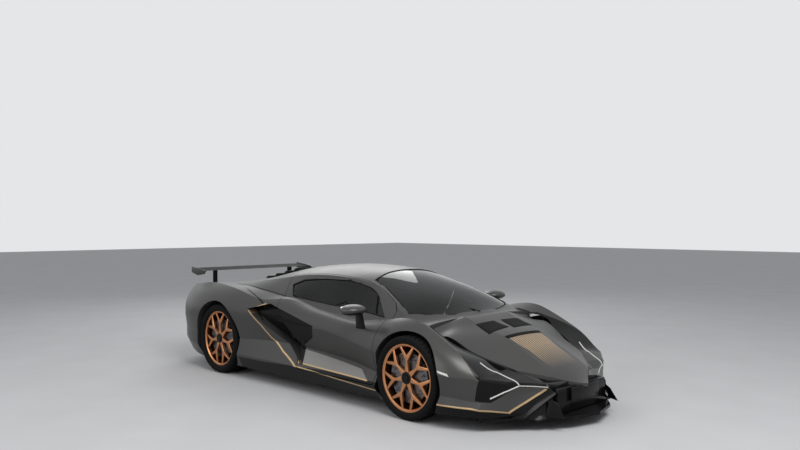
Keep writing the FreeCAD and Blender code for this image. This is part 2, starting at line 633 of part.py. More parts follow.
def rim_disc(centre, bead, width, face_y):
    """Barrel, hub and paired spokes. face_y is the outer side of the spokes from the wheel's middle."""
    half = width / 2 * 0.86
    wall = size("rim_wall")
    barrel = revolve_profile([(bead - SEAT, half), (bead - SEAT, -half), (bead - wall, -half), (bead - wall, half)], centre)
    hub = rod(centre + Vector(0, face_y - size("spoke_depth"), 0), centre + Vector(0, face_y, 0), size("hub_diameter") / 2)
    pieces = [barrel, hub]
    count = 10
    for n in range(count):
        angle = 360 / count * n
        spread = size("spoke_width") * (1.6 if n % 2 else -1.6)
        outline = [Vector(0, 0, -size("spoke_width") / 2), Vector(bead - wall / 2, 0, spread - size("spoke_width") / 2),
                   Vector(bead - wall / 2, 0, spread + size("spoke_width") / 2), Vector(0, 0, size("spoke_width") / 2)]
        spoke = prism([p + Vector(0, face_y - size("spoke_depth"), 0) for p in outline], Vector(0, size("spoke_depth") * 0.8, 0))
        spoke.rotate(Vector(0, 0, 0), Vector(0, 1, 0), angle)
        spoke.translate(centre)
        pieces.append(spoke)
    return fused(*pieces)


disc_inset = size("disc_inset")
for end, hub_point, outer, width, bead in (("front", front_hub, FRONT_R, size("front_tyre_width"), size("front_rim_diameter") / 2),
                                           ("rear", rear_hub, REAR_R, size("rear_tyre_width"), size("rear_rim_diameter") / 2)):
    face_y = width / 2 * 0.86
    tyre = tyre_ring(hub_point, outer, width, bead)
    rim = rim_disc(hub_point, bead, width, face_y)
    disc_y = face_y - size("spoke_depth")
    disc = rod(hub_point + Vector(0, disc_y - disc_inset - size("disc_thickness"), 0), hub_point + Vector(0, disc_y - disc_inset, 0),
               size("disc_diameter") / 2)
    bell = rod(hub_point + Vector(0, disc_y - disc_inset, 0), hub_point + Vector(0, disc_y, 0), size("hub_diameter") / 2)
    disc = fused(disc, bell)
    carrier_y = disc_y - disc_inset - size("disc_thickness") - SEAT
    carrier = rod(hub_point + Vector(0, carrier_y - size("carrier_depth"), 0), hub_point + Vector(0, carrier_y, 0), size("hub_diameter") * 0.6)
    caliper_ring = revolve_profile([(size("disc_diameter") / 2 + GAP, carrier_y + size("disc_thickness")), (size("disc_diameter") / 2 + GAP, carrier_y - SKIN),
                                    (size("disc_diameter") / 4, carrier_y - SKIN), (size("disc_diameter") / 4, carrier_y - SKIN + WALL / 4)][:0]
                                   + [(size("hub_diameter") / 2, carrier_y - WALL / 2), (size("disc_diameter") / 2, carrier_y - WALL / 2),
                                      (size("disc_diameter") / 2, carrier_y), (size("hub_diameter") / 2, carrier_y)], hub_point)
    wedge = prism([hub_point + Vector(0, -outer, 0), hub_point + Vector(outer, -outer, outer * 0.35), hub_point + Vector(outer, -outer, -outer * 0.35)], Vector(0, outer * 2, 0))
    caliper = caliper_ring.common(wedge)
    carrier = fused(carrier, caliper)
    if end == "front":
        pin = rod(hub_point - Vector(0, 0, size("kingpin_length") / 2), hub_point + Vector(0, 0, size("kingpin_length") / 2), size("kingpin_diameter") / 2)
        pin_link = box_between(hub_point.x - WALL / 2, hub_point.x + WALL / 2, hub_point.y, hub_point.y + carrier_y, hub_point.z - WALL, hub_point.z + WALL)
        carrier = fused(carrier, pin, pin_link)
        arms = []
        for rise in (-1, 1):
            z = hub_point.z + rise * (size("kingpin_length") / 2 - WALL / 2)
            arm = box_between(hub_point.x - WALL / 2, hub_point.x + WALL / 2, INNER, hub_point.y, z - WALL / 4, z + WALL / 4)
            eye = rod(Vector(hub_point.x, hub_point.y, z - WALL / 4), Vector(hub_point.x, hub_point.y, z + WALL / 4), size("kingpin_diameter") * 0.73)
            bore = rod(Vector(hub_point.x, hub_point.y, z - WALL), Vector(hub_point.x, hub_point.y, z + WALL), size("kingpin_diameter") / 2 + SEAT)
            arms.append(arm.fuse(eye).cut(bore))
        arm_pair = Part.makeCompound(arms)
        add("front_suspension", Part.makeCompound(arms + [mirrored(a) for a in arms]))
        add("front_knuckle_left", carrier)
        add("front_knuckle_right", mirrored(carrier))
    else:
        shaft = rod(Vector(hub_point.x, INNER, hub_point.z), Vector(hub_point.x, hub_point.y + carrier_y - size("carrier_depth") / 2, hub_point.z), size("kingpin_diameter"))
        add("rear_suspension", both_sides(fused(carrier, shaft)))
    for label, shape in (("tyre", tyre), ("rim", rim), ("disc", disc)):
        add(end + "_" + label + "_left", shape)
        add(end + "_" + label + "_right", mirrored(shape))

# Openings in the arch inner walls for the arms and shafts
for name, hub_point in (("front_fenders", front_hub), ("front_bumper", front_hub), ("rear_quarters", rear_hub)):
    reach = size("arm_window") / 2
    rise = size("kingpin_length") / 2 + WALL / 2
    window = box_between(hub_point.x - reach, hub_point.x + reach, INNER - SEAT, hub_point.y, hub_point.z - rise, hub_point.z + rise)
    shape = NODES[name].Shape.cut(window).cut(mirrored(window))
    NODES[name].Shape = Part.makeCompound(shape.Solids)

# Engine block and tail
engine = box_between(along(-0.95), CABIN_REAR - WALL, -size("engine_width") / 2, size("engine_width") / 2, FLOOR_TOP, FLOOR_TOP + size("engine_height"))
add("engine_block", engine)
FASCIA_LOW_SHARE = 0.35
fascia_half = tail_side.copy()
fascia_x = along(-1.86)
fascia = box_between(fascia_x - SKIN * 2, fascia_x - SEAT, -INNER * 1.4, INNER * 1.4, FASCIA_LOW_SHARE * REAR_CREST, REAR_CREST * 0.90)
add("rear_corners", both_sides(tail_side))
add("rear_fascia", fascia)
diffuser_side = [(along(-1.50), RIDE), (along(-2), RIDE + WALL * 2), (along(-2), FASCIA_LOW_SHARE * REAR_CREST - SEAT),
                 (fascia_x, FASCIA_LOW_SHARE * REAR_CREST - SEAT), (TAIL_END - WALL, FASCIA_LOW_SHARE * REAR_CREST - SEAT), (along(-1.50), FLOOR_TOP)]
diffuser = side_prism(diffuser_side, -INNER, INNER).cut(tub)
add("rear_diffuser", diffuser)

# Rear wing on two struts
WING_HALF = size("wing_span") / 2
wing_x = along(-1.74)
wing_side = [(wing_x - size("wing_chord") / 2, size("wing_height")), (wing_x, size("wing_height") - SKIN),
             (wing_x + size("wing_chord") / 2, size("wing_height") - SKIN * 2), (wing_x, size("wing_height") - SKIN * 2.4)]
blade = side_prism(wing_side, -WING_HALF, WING_HALF)
struts = []
for y in (-size("strut_pitch") / 2, size("strut_pitch") / 2):
    struts.append(box_between(wing_x - WALL, wing_x + WALL, y - SKIN / 2, y + SKIN / 2, size("wing_height") - SKIN * 20, size("wing_height") - SKIN * 2))
wing = fused(blade, *struts).cut(roof)
add("rear_wing", largest_of(wing.Solids))

# Buffers under the lids
buffers = []
lid_space = skin_between(bonnet_rows, BONNET_SPANS, 0, size("bonnet_wall") + SEAT)
for u, y_share in ((1.08, 0.60), (1.62, 0.36)):
    x, y = plan_point(u, y_share)
    column = rod(Vector(x, y, FLOOR_TOP), Vector(x, y, ROOF), size("buffer_diameter") / 2)
    column = column.cut(lid_space).cut(fender).cut(bumper_half)
    pieces = [solid for solid in column.Solids if solid.BoundBox.ZMax < ROOF * 0.9]
    buffers.append(max(pieces, key=lambda solid: solid.BoundBox.ZMax))
add("bonnet_buffers", Part.makeCompound(buffers + [mirrored(b) for b in buffers]))
posts = []
deck_space = skin_between(upper_rows, UPPER_SPANS, 0, size("roof_wall") + SEAT)
for u in (-0.66, -1.16):
    column = rod(Vector(along(u), INNER - WALL / 2, REAR_RAIL_SHARE * REAR_CREST), Vector(along(u), INNER - WALL / 2, HIGH), size("buffer_diameter") / 2)
    posts.append(min(column.cut(deck_space).Solids, key=lambda solid: solid.BoundBox.ZMin))
add("cover_props", Part.makeCompound(posts + [mirrored(post) for post in posts]))

DOC.recompute()
for name, feature in NODES.items():
    shape = feature.Shape
    box = shape.BoundBox
    if shape.isNull() or not shape.isValid() or "Invalid" in feature.State or "Error" in feature.State:
        raise RuntimeError("bad shape: " + name)
    print(name, len(shape.Solids), round(shape.Volume / 1e6, 2), [round(v) for v in (box.XMin, box.XMax, box.YMin, box.YMax, box.ZMin, box.ZMax)])
    if not shape.Solids or min(solid.Volume for solid in shape.Solids) < 1:
        raise RuntimeError("no solid: " + name)
os.makedirs("parts", exist_ok=True)
for name, feature in NODES.items():
    feature.Shape.exportStep("parts/" + name + ".step")
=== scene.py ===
import math
from types import SimpleNamespace

import bpy
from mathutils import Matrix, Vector


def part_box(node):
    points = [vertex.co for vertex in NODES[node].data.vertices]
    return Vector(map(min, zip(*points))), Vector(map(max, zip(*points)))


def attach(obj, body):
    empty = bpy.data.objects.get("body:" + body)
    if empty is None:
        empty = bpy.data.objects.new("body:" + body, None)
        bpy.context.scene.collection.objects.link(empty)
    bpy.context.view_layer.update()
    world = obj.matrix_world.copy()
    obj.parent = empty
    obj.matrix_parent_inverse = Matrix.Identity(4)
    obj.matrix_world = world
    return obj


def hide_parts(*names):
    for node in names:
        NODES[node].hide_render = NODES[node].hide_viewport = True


bl_info = {
    "name": "Supercar dressing",
    "version": (1, 0, 0),
    "blender": (4, 5, 0),
    "location": "View3D > Sidebar > Supercar",
    "description": "Paint, trim and details for the mid-engined supercar",
    "category": "Object",
}

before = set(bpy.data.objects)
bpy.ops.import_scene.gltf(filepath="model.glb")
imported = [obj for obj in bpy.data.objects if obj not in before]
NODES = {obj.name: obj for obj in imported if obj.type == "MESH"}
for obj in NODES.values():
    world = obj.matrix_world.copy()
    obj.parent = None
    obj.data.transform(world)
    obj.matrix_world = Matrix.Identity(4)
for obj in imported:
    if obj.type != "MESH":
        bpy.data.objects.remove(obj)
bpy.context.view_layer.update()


# Settings

def colour_setting(name, description, default):
    """A colour that the panel offers."""
    return bpy.props.FloatVectorProperty(
        name=name, description=description, subtype="COLOR", size=3, min=0, max=1, default=default)


class PaintSettings(bpy.types.PropertyGroup):
    """Colours of the body panels"""
    grey: colour_setting("Grey", "Satin colour of the body panels", (0.082, 0.081, 0.079))
    # The wedge faces up: its lighter colour is partly the panel's own tone and partly painted highlight for the
    # light it catches.
    pale_highlight: colour_setting("Pale wedge", "Lighter colour of the sill wedge", (0.27, 0.265, 0.255))
    black: colour_setting("Black", "Colour of the black trim", (0.006, 0.006, 0.0065))
    gold: colour_setting("Gold", "Colour of the accent lines", (0.60, 0.42, 0.24))


class WheelSettings(bpy.types.PropertyGroup):
    """Colours of the wheels"""
    bronze: colour_setting("Bronze", "Colour of the rims", (0.56, 0.26, 0.125))
    rubber: colour_setting("Rubber", "Colour of the tyres", (0.008, 0.008, 0.0085))
    iron: colour_setting("Iron", "Colour of the brake discs", (0.16, 0.16, 0.165))


class StageSettings(bpy.types.PropertyGroup):
    """Floor and camera"""
    floor: colour_setting("Floor", "Colour of the floor", (0.62, 0.62, 0.63))
    camera_place: bpy.props.FloatVectorProperty(
        name="Camera place", description="Place of the camera", subtype="TRANSLATION", unit="LENGTH",
        size=3, default=(5.429, -5.114, 1.53))
    lens: bpy.props.FloatProperty(
        name="Lens", description="Focal length on a sensor 36 mm wide", unit="CAMERA", default=33.39)


# Materials

# Noise scales, in repeats per metre
CLOUD = 3
DUST = 24
GRIT = 180
GRAIN = 260
ORANGE_PEEL = 320
BRUSHING = 420
FLAKE = 900

# Shine of the materials that are not metal
SATIN_SHINE = 0.15
LACQUER_SHINE = 0.12
DULL_SHINE = 0.06
GLASS_SHINE = 0.25

# The axes of a field seen in plan, and of a field seen from the side
PLAN = (0, 1)
SIDE = (0, 2)


def material(name, shine=0.5):
    """New node material, with its node tree and its shader."""
    mat = bpy.data.materials.new(name)
    mat.use_nodes = True
    shader = mat.node_tree.nodes["Principled BSDF"]
    shader.inputs["Specular IOR Level"].default_value = shine
    return mat, mat.node_tree, shader


def node(tree, kind, **values):
    """New node. A value sets the input of its name, or else the property."""
    made = tree.nodes.new(kind)
    for key, value in values.items():
        if key in made.inputs:
            made.inputs[key].default_value = value
        else:
            setattr(made, key, value)
    return made


def place(tree, scale=(1, 1, 1)):
    """Object coordinates through a mapping."""
    coordinates = node(tree, "ShaderNodeTexCoord")
    mapping = node(tree, "ShaderNodeMapping")
    mapping.inputs["Scale"].default_value = scale
    tree.links.new(coordinates.outputs["Object"], mapping.inputs["Vector"])
    return mapping.outputs["Vector"]


def noise(tree, vector, scale, detail=3.0, roughness=0.5):
    """Random pattern of 0 to 1."""
    made = node(tree, "ShaderNodeTexNoise", Scale=scale, Detail=detail, Roughness=roughness)
    tree.links.new(vector, made.inputs["Vector"])
    return made.outputs["Fac"]


def ramp(tree, factor, stops):
    """Colour ramp with stops of (position, colour)."""
    made = node(tree, "ShaderNodeValToRGB")
    elements = made.color_ramp.elements
    while len(elements) < len(stops):
        elements.new(0.5)
    for element, (position, colour) in zip(elements, stops):
        element.position = position
        element.color = (*colour, 1) if len(colour) == 3 else colour
    tree.links.new(factor, made.inputs["Fac"])
    return made.outputs["Color"]


def spread(tree, factor, low, high):
    """Maps a factor of 0 to 1 onto low to high."""
    made = node(tree, "ShaderNodeMapRange")
    made.inputs["To Min"].default_value = low
    made.inputs["To Max"].default_value = high
    tree.links.new(factor, made.inputs["Value"])
    return made.outputs["Result"]


def rise(tree, factor, low, high):
    """0 where the factor is below low, and 1 above high."""
    made = node(tree, "ShaderNodeMapRange")
    made.inputs["From Min"].default_value = low
    made.inputs["From Max"].default_value = high
    tree.links.new(factor, made.inputs["Value"])
    return made.outputs["Result"]


def bump(tree, shader, height, strength, distance):
    """Raises the surface by a pattern."""
    made = node(tree, "ShaderNodeBump", Strength=strength, Distance=distance)
    tree.links.new(height, made.inputs["Height"])
    tree.links.new(made.outputs["Normal"], shader.inputs["Normal"])


def shade(colour, factor):
    """The colour made lighter or darker."""
    return tuple(min(1, channel * factor) for channel in colour)


def patterned(tree, shader, pattern, stops, smooth, dull):
    """Gives a shader a colour and a roughness that follow one pattern."""
    tree.links.new(ramp(tree, pattern, stops), shader.inputs["Base Color"])
    tree.links.new(spread(tree, pattern, smooth, dull), shader.inputs["Roughness"])


def feed(tree, value, socket):
    """Links a socket, or sets a number or colour."""
    if isinstance(value, bpy.types.NodeSocket):
        tree.links.new(value, socket)
    else:
        socket.default_value = value


def mixed(tree, kind, factor, low, high):
    """Mixes two colours or two numbers."""
    first, second, result = {"RGBA": (6, 7, 2), "FLOAT": (2, 3, 0)}[kind]
    made = node(tree, "ShaderNodeMix", data_type=kind)
    tree.links.new(factor, made.inputs[0])
    feed(tree, low, made.inputs[first])
    feed(tree, high, made.inputs[second])
    return made.outputs[result]


def combined(tree, operation, first, second):
    """Two numbers joined by an operation. The first may still be missing."""
    if first is None:
        return second
    made = node(tree, "ShaderNodeMath", operation=operation)
    tree.links.new(first, made.inputs[0])
    feed(tree, second, made.inputs[1])
    return made.outputs[0]


def folded_place(tree):
    """Object coordinates with both sides of the car folded onto one."""
    parts = node(tree, "ShaderNodeSeparateXYZ")
    tree.links.new(place(tree), parts.inputs[0])
    side = node(tree, "ShaderNodeMath", operation="ABSOLUTE")
    tree.links.new(parts.outputs[1], side.inputs[0])
    whole = node(tree, "ShaderNodeCombineXYZ")
    for socket, target in zip((parts.outputs[0], side.outputs[0], parts.outputs[2]), whole.inputs):
        tree.links.new(socket, target)
    return whole.outputs[0]


def band(first_edge, second_edge):
    """Four-sided fields between two edges with the same number of points."""
    pairs = list(zip(first_edge, second_edge))
    return [[a, b, d, c] for (a, c), (b, d) in zip(pairs, pairs[1:])]


def strokes(points, width):
    """Four-sided fields along a line."""
    fields = []
    for first, second in zip(points, points[1:]):
        first, second = Vector(first), Vector(second)
        ahead = (second - first).normalized() * width / 2
        aside = Vector((-ahead.y, ahead.x))
        fields.append([first - ahead + aside, second + ahead + aside,
                       second + ahead - aside, first - ahead - aside])
    return fields


def zone(tree, position, fields, axes, edge=0.0003):
    """1 inside any of the convex fields on two of the axes, 0 outside."""
    whole = None
    for corners in fields:
        corners = [Vector(corner) for corner in corners]
        middle = sum(corners, Vector((0, 0))) / len(corners)
        inside = None
        for first, second in zip(corners, corners[1:] + corners[:1]):
            inward = Vector((second.y - first.y, first.x - second.x)).normalized()
            if inward.dot(middle - first) < 0:
                inward = -inward
            direction = [0, 0, 0]
            direction[axes[0]], direction[axes[1]] = inward
            depth = node(tree, "ShaderNodeVectorMath", operation="DOT_PRODUCT")
            depth.inputs[1].default_value = direction
            tree.links.new(position, depth.inputs[0])
            border = inward.dot(first)
            side = rise(tree, depth.outputs["Value"], border - edge, border + edge)
            inside = combined(tree, "MULTIPLY", inside, side)
        whole = combined(tree, "MAXIMUM", whole, inside)
    return whole


def satin_paint(name, colour, zones=(), metallic=0.6, roughness=0.34):
    """Satin paint with fine flake, a soft orange peel and zones of other finishes.

    A zone is a field list in plan, a field list from the side and a finish."""
    mat, tree, shader = material(name, SATIN_SHINE)
    vector = place(tree)
    tint = ramp(tree, noise(tree, vector, FLAKE, 2), [(0.35, shade(colour, 0.9)), (0.65, shade(colour, 1.1))])
    sheen = metallic
    gloss = spread(tree, noise(tree, vector, CLOUD, 3), roughness - 0.04, roughness + 0.05)
    position = folded_place(tree) if zones else None
    for plan, side, (zone_colour, zone_sheen, zone_gloss) in zones:
        inside = zone(tree, position, plan, PLAN) if plan else None
        if side:
            inside = combined(tree, "MULTIPLY", inside, zone(tree, position, side, SIDE))
        tint = mixed(tree, "RGBA", inside, tint, (*zone_colour, 1))
        sheen = mixed(tree, "FLOAT", inside, sheen, zone_sheen)
        gloss = mixed(tree, "FLOAT", inside, gloss, zone_gloss)
    tree.links.new(tint, shader.inputs["Base Color"])
    feed(tree, sheen, shader.inputs["Metallic"])
    tree.links.new(gloss, shader.inputs["Roughness"])
    bump(tree, shader, noise(tree, vector, ORANGE_PEEL, 1), 0.02, 0.0005)
    return mat


def gloss_black(name, colour, roughness=0.16):
    """Lacquered black trim with faint dust."""
    mat, tree, shader = material(name, LACQUER_SHINE)
    dust = noise(tree, place(tree), DUST, 4, 0.6)
    patterned(tree, shader, dust, [(0.45, colour), (0.8, shade(colour, 1.5))], roughness, roughness + 0.06)
    return mat


def matte_black(name, colour):
    """Moulded black plastic with a fine grain."""
    mat, tree, shader = material(name, DULL_SHINE)
    grit = noise(tree, place(tree), GRAIN, 3)
    patterned(tree, shader, grit, [(0.3, shade(colour, 0.8)), (0.7, shade(colour, 1.5))], 0.52, 0.7)
    bump(tree, shader, grit, 0.25, 0.0006)
    return mat


def tinted_glass(name):
    """Dark clear glass."""
    mat, tree, shader = material(name, GLASS_SHINE)
    shader.inputs["Base Color"].default_value = (0.12, 0.125, 0.13, 1)
    shader.inputs["Transmission Weight"].default_value = 1.0
    shader.inputs["IOR"].default_value = 1.3
    tree.links.new(spread(tree, noise(tree, place(tree), 8, 2), 0.0, 0.03), shader.inputs["Roughness"])
    return mat


def metal(name, colour, roughness):
    """Bare or painted metal with a fine brushing."""
    mat, tree, shader = material(name)
    vector = place(tree)
    patterned(tree, shader, noise(tree, vector, GRIT, 3),
              [(0.3, shade(colour, 0.85)), (0.7, shade(colour, 1.12))], roughness - 0.05, roughness + 0.07)
    shader.inputs["Metallic"].default_value = 1.0
    bump(tree, shader, noise(tree, vector, BRUSHING, 2), 0.05, 0.0004)
    return mat


def rubber(name, colour):
    """Dull rubber with a rough skin."""
    mat, tree, shader = material(name, DULL_SHINE)
    grit = noise(tree, place(tree), 140, 5, 0.65)
    patterned(tree, shader, grit, [(0.3, shade(colour, 0.8)), (0.75, shade(colour, 1.6))], 0.6, 0.8)
    bump(tree, shader, grit, 0.3, 0.0008)
    return mat


def leather(name, colour):
    """Leather with a cell grain and soft clouds of colour."""
    mat, tree, shader = material(name)
    vector = place(tree)
    cells = node(tree, "ShaderNodeTexVoronoi", Scale=420.0)
    tree.links.new(vector, cells.inputs["Vector"])
    clouds = noise(tree, vector, 14, 4)
    tree.links.new(ramp(tree, clouds, [(0.3, shade(colour, 0.8)), (0.7, shade(colour, 1.3))]),
                   shader.inputs["Base Color"])
    tree.links.new(spread(tree, cells.outputs["Distance"], 0.42, 0.6), shader.inputs["Roughness"])
    bump(tree, shader, cells.outputs["Distance"], 0.35, 0.0006)
    return mat


def paint(mat, *names):
    """Gives CAD nodes a material."""
    for name in names:
        mesh = NODES[name].data
        mesh.materials.clear()
        mesh.materials.append(mat)


# Places on the body, in metres, one side for both: (x, y) in plan and (x, z) from the side

LAMP_PLAN = band([(1.36, 0.70), (1.506, 0.684), (1.714, 0.63), (1.939, 0.54), (2.102, 0.445), (2.24, 0.355)],
                 [(1.40, 0.74), (1.594, 0.80), (1.771, 0.845), (1.90, 0.862), (2.10, 0.87), (2.40, 0.62)])
LAMP_SIDE = band([(1.3, 0.9), (1.94, 0.9), (2.047, 0.9), (2.16, 0.9), (2.30, 0.9)],
                 [(1.3, 0.2), (1.94, 0.236), (2.047, 0.222), (2.16, 0.325), (2.30, 0.30)])
BLADE_LINE = [(1.35, 0.182), (1.817, 0.182), (1.94, 0.179), (2.047, 0.162), (2.127, 0.143), (2.194, 0.217),
              (2.251, 0.288)]
BLADE_UNDER = band([(1.35, 0.18), (1.94, 0.177), (2.047, 0.16), (2.127, 0.141), (2.194, 0.215), (2.251, 0.286),
                    (2.32, 0.33)],
                   [(1.35, 0), (1.94, 0), (2.047, 0), (2.127, 0), (2.2, 0), (2.28, 0), (2.36, 0)])
MOUTH_PLAN = [[(2.15, -0.01), (2.5, -0.01), (2.5, 0.36), (2.15, 0.36)]]
INTAKE_LINE = [(-0.60, 0.762), (-0.797, 0.692), (-0.633, 0.568), (-0.504, 0.44), (-0.32, 0.337), (-0.083, 0.243)]
SILL_LINE = [(-0.083, 0.236), (0.158, 0.226), (0.434, 0.21), (0.693, 0.196), (1.0, 0.18)]
# The wedge low on the doors and quarters faces up; its lighter zone is partly painted highlight.
WEDGE = band([(-0.14, 0.385), (0.291, 0.349), (0.754, 0.309)], [(-0.046, 0.272), (0.394, 0.258), (0.883, 0.244)])
WEDGE_LINE = [(-0.14, 0.382), (-0.046, 0.268), (0.394, 0.254), (0.883, 0.240)]
SKIRT = band([(-0.9, 0.20), (-0.083, 0.235), (0.434, 0.25), (1.02, 0.24)],
             [(-0.9, 0), (-0.083, 0), (0.434, 0), (1.02, 0)])
BUTTRESS_LINE = [(-1.42, 0.725), (-1.375, 0.736), (-0.973, 0.865), (-0.642, 0.936)]
OUTER_SKIN = [[(-2.5, 0.80), (2.5, 0.80), (2.5, 1.2), (-2.5, 1.2)]]
SILL_EDGE = [[(-2.5, 0.945), (2.5, 0.945), (2.5, 1.2), (-2.5, 1.2)]]
STRIPE_FIELD = [[(1.79, -0.01), (1.79, 0.22), (2.2, 0.17), (2.2, -0.01)]]
MIRROR_UNDERSIDE = [[(0.5, 0.70), (0.9, 0.70), (0.9, 0.795), (0.5, 0.795)]]

# Widths of the accent lines
BLADE_STROKE = 0.013
SILL_STROKE = 0.011
WEDGE_STROKE = 0.01
INTAKE_STROKE = 0.014
BUTTRESS_STROKE = 0.016

# Half of a tyre's section: shares of its half width, and of its height from bead to tread
TYRE_STEPS = 192
TYRE_SHARES = [(-0.72, 0.0), (-0.86, 0.03), (-0.93, 0.10), (-0.962, 0.22), (-0.972, 0.24), (-0.985, 0.40),
               (-1.0, 0.55), (-0.985, 0.68), (-0.972, 0.70), (-0.955, 0.80), (-0.92, 0.885), (-0.87, 0.945),
               (-0.79, 0.98), (-0.66, 0.994), (-0.545, 1.0), (-0.53, 0.90), (-0.47, 0.90), (-0.455, 1.0),
               (-0.27, 1.0), (-0.085, 1.0), (-0.07, 0.90)]
# Outline of a forked spoke, in shares of the rim's radius
SPOKE_SHARES = [(-0.13, 0.0), (-0.085, 0.16), (-0.035, 0.50), (-0.30, 0.90), (-0.225, 0.925), (0.0, 0.66),
                (0.225, 0.925), (0.30, 0.90), (0.035, 0.50), (0.085, 0.16), (0.13, 0.0)]
CALLIPER_ANGLES = [math.radians(180 + 7 * n) for n in range(-4, 6)]


def finishes(paints):
    """Black lacquer, gold line and lighter wedge paint, each as colour, metallic and roughness. The wedge faces
    up; its lighter colour is partly its own tone and partly painted highlight for the light it catches.
    """
    return (tuple(paints.black), 0.0, 0.16), (tuple(paints.gold), 0.85, 0.3), (tuple(paints.pale_highlight), 0.4, 0.35)


def pane_edge(name, axis, reach, lift, steps=16):
    """Points round a pane, from its mesh: its high edge on an axis, and its low one on the way back."""
    low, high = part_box(name)
    there, back = [], []
    points = [vertex.co for vertex in NODES[name].data.vertices]
    for n in range(steps + 1):
        x = low.x + (high.x - low.x) * n / steps
        near = [point for point in points if abs(point.x - x) < reach]
        if near:
            there.append(max(near, key=lambda point: point[axis]) + Vector(lift))
            back.append(min(near, key=lambda point: point[axis]) + Vector(lift))
    return there + back[::-1]


def lamp_white(name):
    """Clear lamp bar with a faint inner ribbing."""
    mat, tree, shader = material(name)
    ribs = noise(tree, place(tree), 220, 2)
    patterned(tree, shader, ribs, [(0.3, (0.62, 0.6, 0.55)), (0.7, (0.85, 0.83, 0.78))], 0.12, 0.2)
    shader.inputs["Coat Weight"].default_value = 0.5
    return mat


def lamp_red(name):
    """Red lamp glass with a fine cell pattern."""
    mat, tree, shader = material(name)
    cells = node(tree, "ShaderNodeTexVoronoi", Scale=160.0, Randomness=0.0)
    tree.links.new(place(tree), cells.inputs["Vector"])
    depth = cells.outputs["Distance"]
    patterned(tree, shader, depth, [(0.1, (0.32, 0.008, 0.008)), (0.6, (0.09, 0.002, 0.002))], 0.08, 0.16)
    bump(tree, shader, depth, 0.3, 0.001)
    return mat


def striped_bonnet(name, paints):
    """Satin bonnet with fine gold stripes that fade towards the nose."""
    stripe_scale, fade_end, fade_start = 11.5, 2.19, 1.93
    mat = satin_paint(name, paints.grey, [(LAMP_PLAN, LAMP_SIDE, finishes(paints)[0])])
    tree = mat.node_tree
    colour = tree.nodes["Principled BSDF"].inputs["Base Color"]
    base = colour.links[0].from_socket
    vector = place(tree)
    wave = node(tree, "ShaderNodeTexWave", Scale=stripe_scale, bands_direction="Y")
    tree.links.new(vector, wave.inputs["Vector"])
    lines = rise(tree, wave.outputs["Fac"], 0.35, 0.75)
    field = zone(tree, folded_place(tree), STRIPE_FIELD, PLAN)
    parts = node(tree, "ShaderNodeSeparateXYZ")
    tree.links.new(vector, parts.inputs[0])
    fade = rise(tree, parts.outputs[0], fade_end, fade_start)
    amount = combined(tree, "MULTIPLY", combined(tree, "MULTIPLY", lines, field), fade)
    tree.links.new(mixed(tree, "RGBA", amount, base, (*paints.gold, 1)), colour)
    return mat


# Modelling by hand

SAME_PLACE = 0.00002    # points closer than this are one point
LOOKS_ALONG = 0.9       # least share of an axis in the normal of a face that looks along it
SKIN_LIFT = 0.0005      # how far a thin cover lies off the panel


def across(x, *points):
    """Points of (y, z) on an upright plane across the car."""
    return [(x, y, z) for y, z in points]


def along(y, *points):
    """Points of (x, z) on an upright plane along the car."""
    return [(x, y, z) for x, z in points]


def level(z, *points):
    """Points of (x, y) on a level plane."""
    return [(x, y, z) for x, y in points]


def hold(*pieces):
    """Leaves edit mode and selects only these objects."""
    if bpy.context.object and bpy.context.object.mode != "OBJECT":
        bpy.ops.object.mode_set(mode="OBJECT")
    bpy.ops.object.select_all(action="DESELECT")
    for piece in pieces:
        piece.select_set(True)
    if pieces:
        bpy.context.view_layer.objects.active = pieces[0]


def edit_all():
    """Opens edit mode with the whole active piece selected."""
    bpy.ops.object.mode_set(mode="EDIT")
    bpy.ops.mesh.select_all(action="SELECT")


def modify(piece, kind, **values):
    """Adds a modifier with these values to the active piece and applies it."""
    modifier = piece.modifiers.new(kind.lower(), kind)
    for key, value in values.items():
        setattr(modifier, key, value)
    bpy.ops.object.modifier_apply(modifier=modifier.name)


def take(name):
    """Names a primitive that was just added and puts its place in its mesh."""
    piece = bpy.context.object
    piece.name = name
    bpy.ops.object.transform_apply(location=True, rotation=True, scale=True)
    return piece


def pick(piece, test):
    """Opens edit mode with the faces selected whose centre and normal pass the test."""
    hold(piece)
    bpy.context.tool_settings.mesh_select_mode = (False, False, True)
    mesh = piece.data
    for part in (mesh.vertices, mesh.edges, mesh.polygons):
        part.foreach_set("select", [False] * len(part))
    for face in mesh.polygons:
        face.select = test(face.center, face.normal)
    bpy.ops.object.mode_set(mode="EDIT")


def drawn(name, points, closed=False):
    """A chain of edges drawn point by point. It ends in edit mode, selected."""
    hold()
    bpy.ops.mesh.primitive_plane_add(size=0.01, location=points[0])
    piece = take(name)
    bpy.ops.object.mode_set(mode="EDIT")
    bpy.ops.mesh.select_mode(type="VERT")
    bpy.ops.mesh.select_all(action="SELECT")
    bpy.ops.mesh.merge(type="CENTER")
    route = [Vector(point) for point in points]
    if closed:
        route.append(route[0])
    for first, second in zip(route, route[1:]):
        bpy.ops.mesh.extrude_vertices_move(TRANSFORM_OT_translate={"value": second - first})
    bpy.ops.mesh.select_all(action="SELECT")
    bpy.ops.mesh.remove_doubles(threshold=SAME_PLACE)
    return piece


def plate(name, points, depth):
    """A flat outline given a depth."""
    piece = drawn(name, points, closed=True)
    bpy.ops.mesh.edge_face_add()
    bpy.ops.mesh.extrude_region_move(TRANSFORM_OT_translate={"value": depth})
    return piece


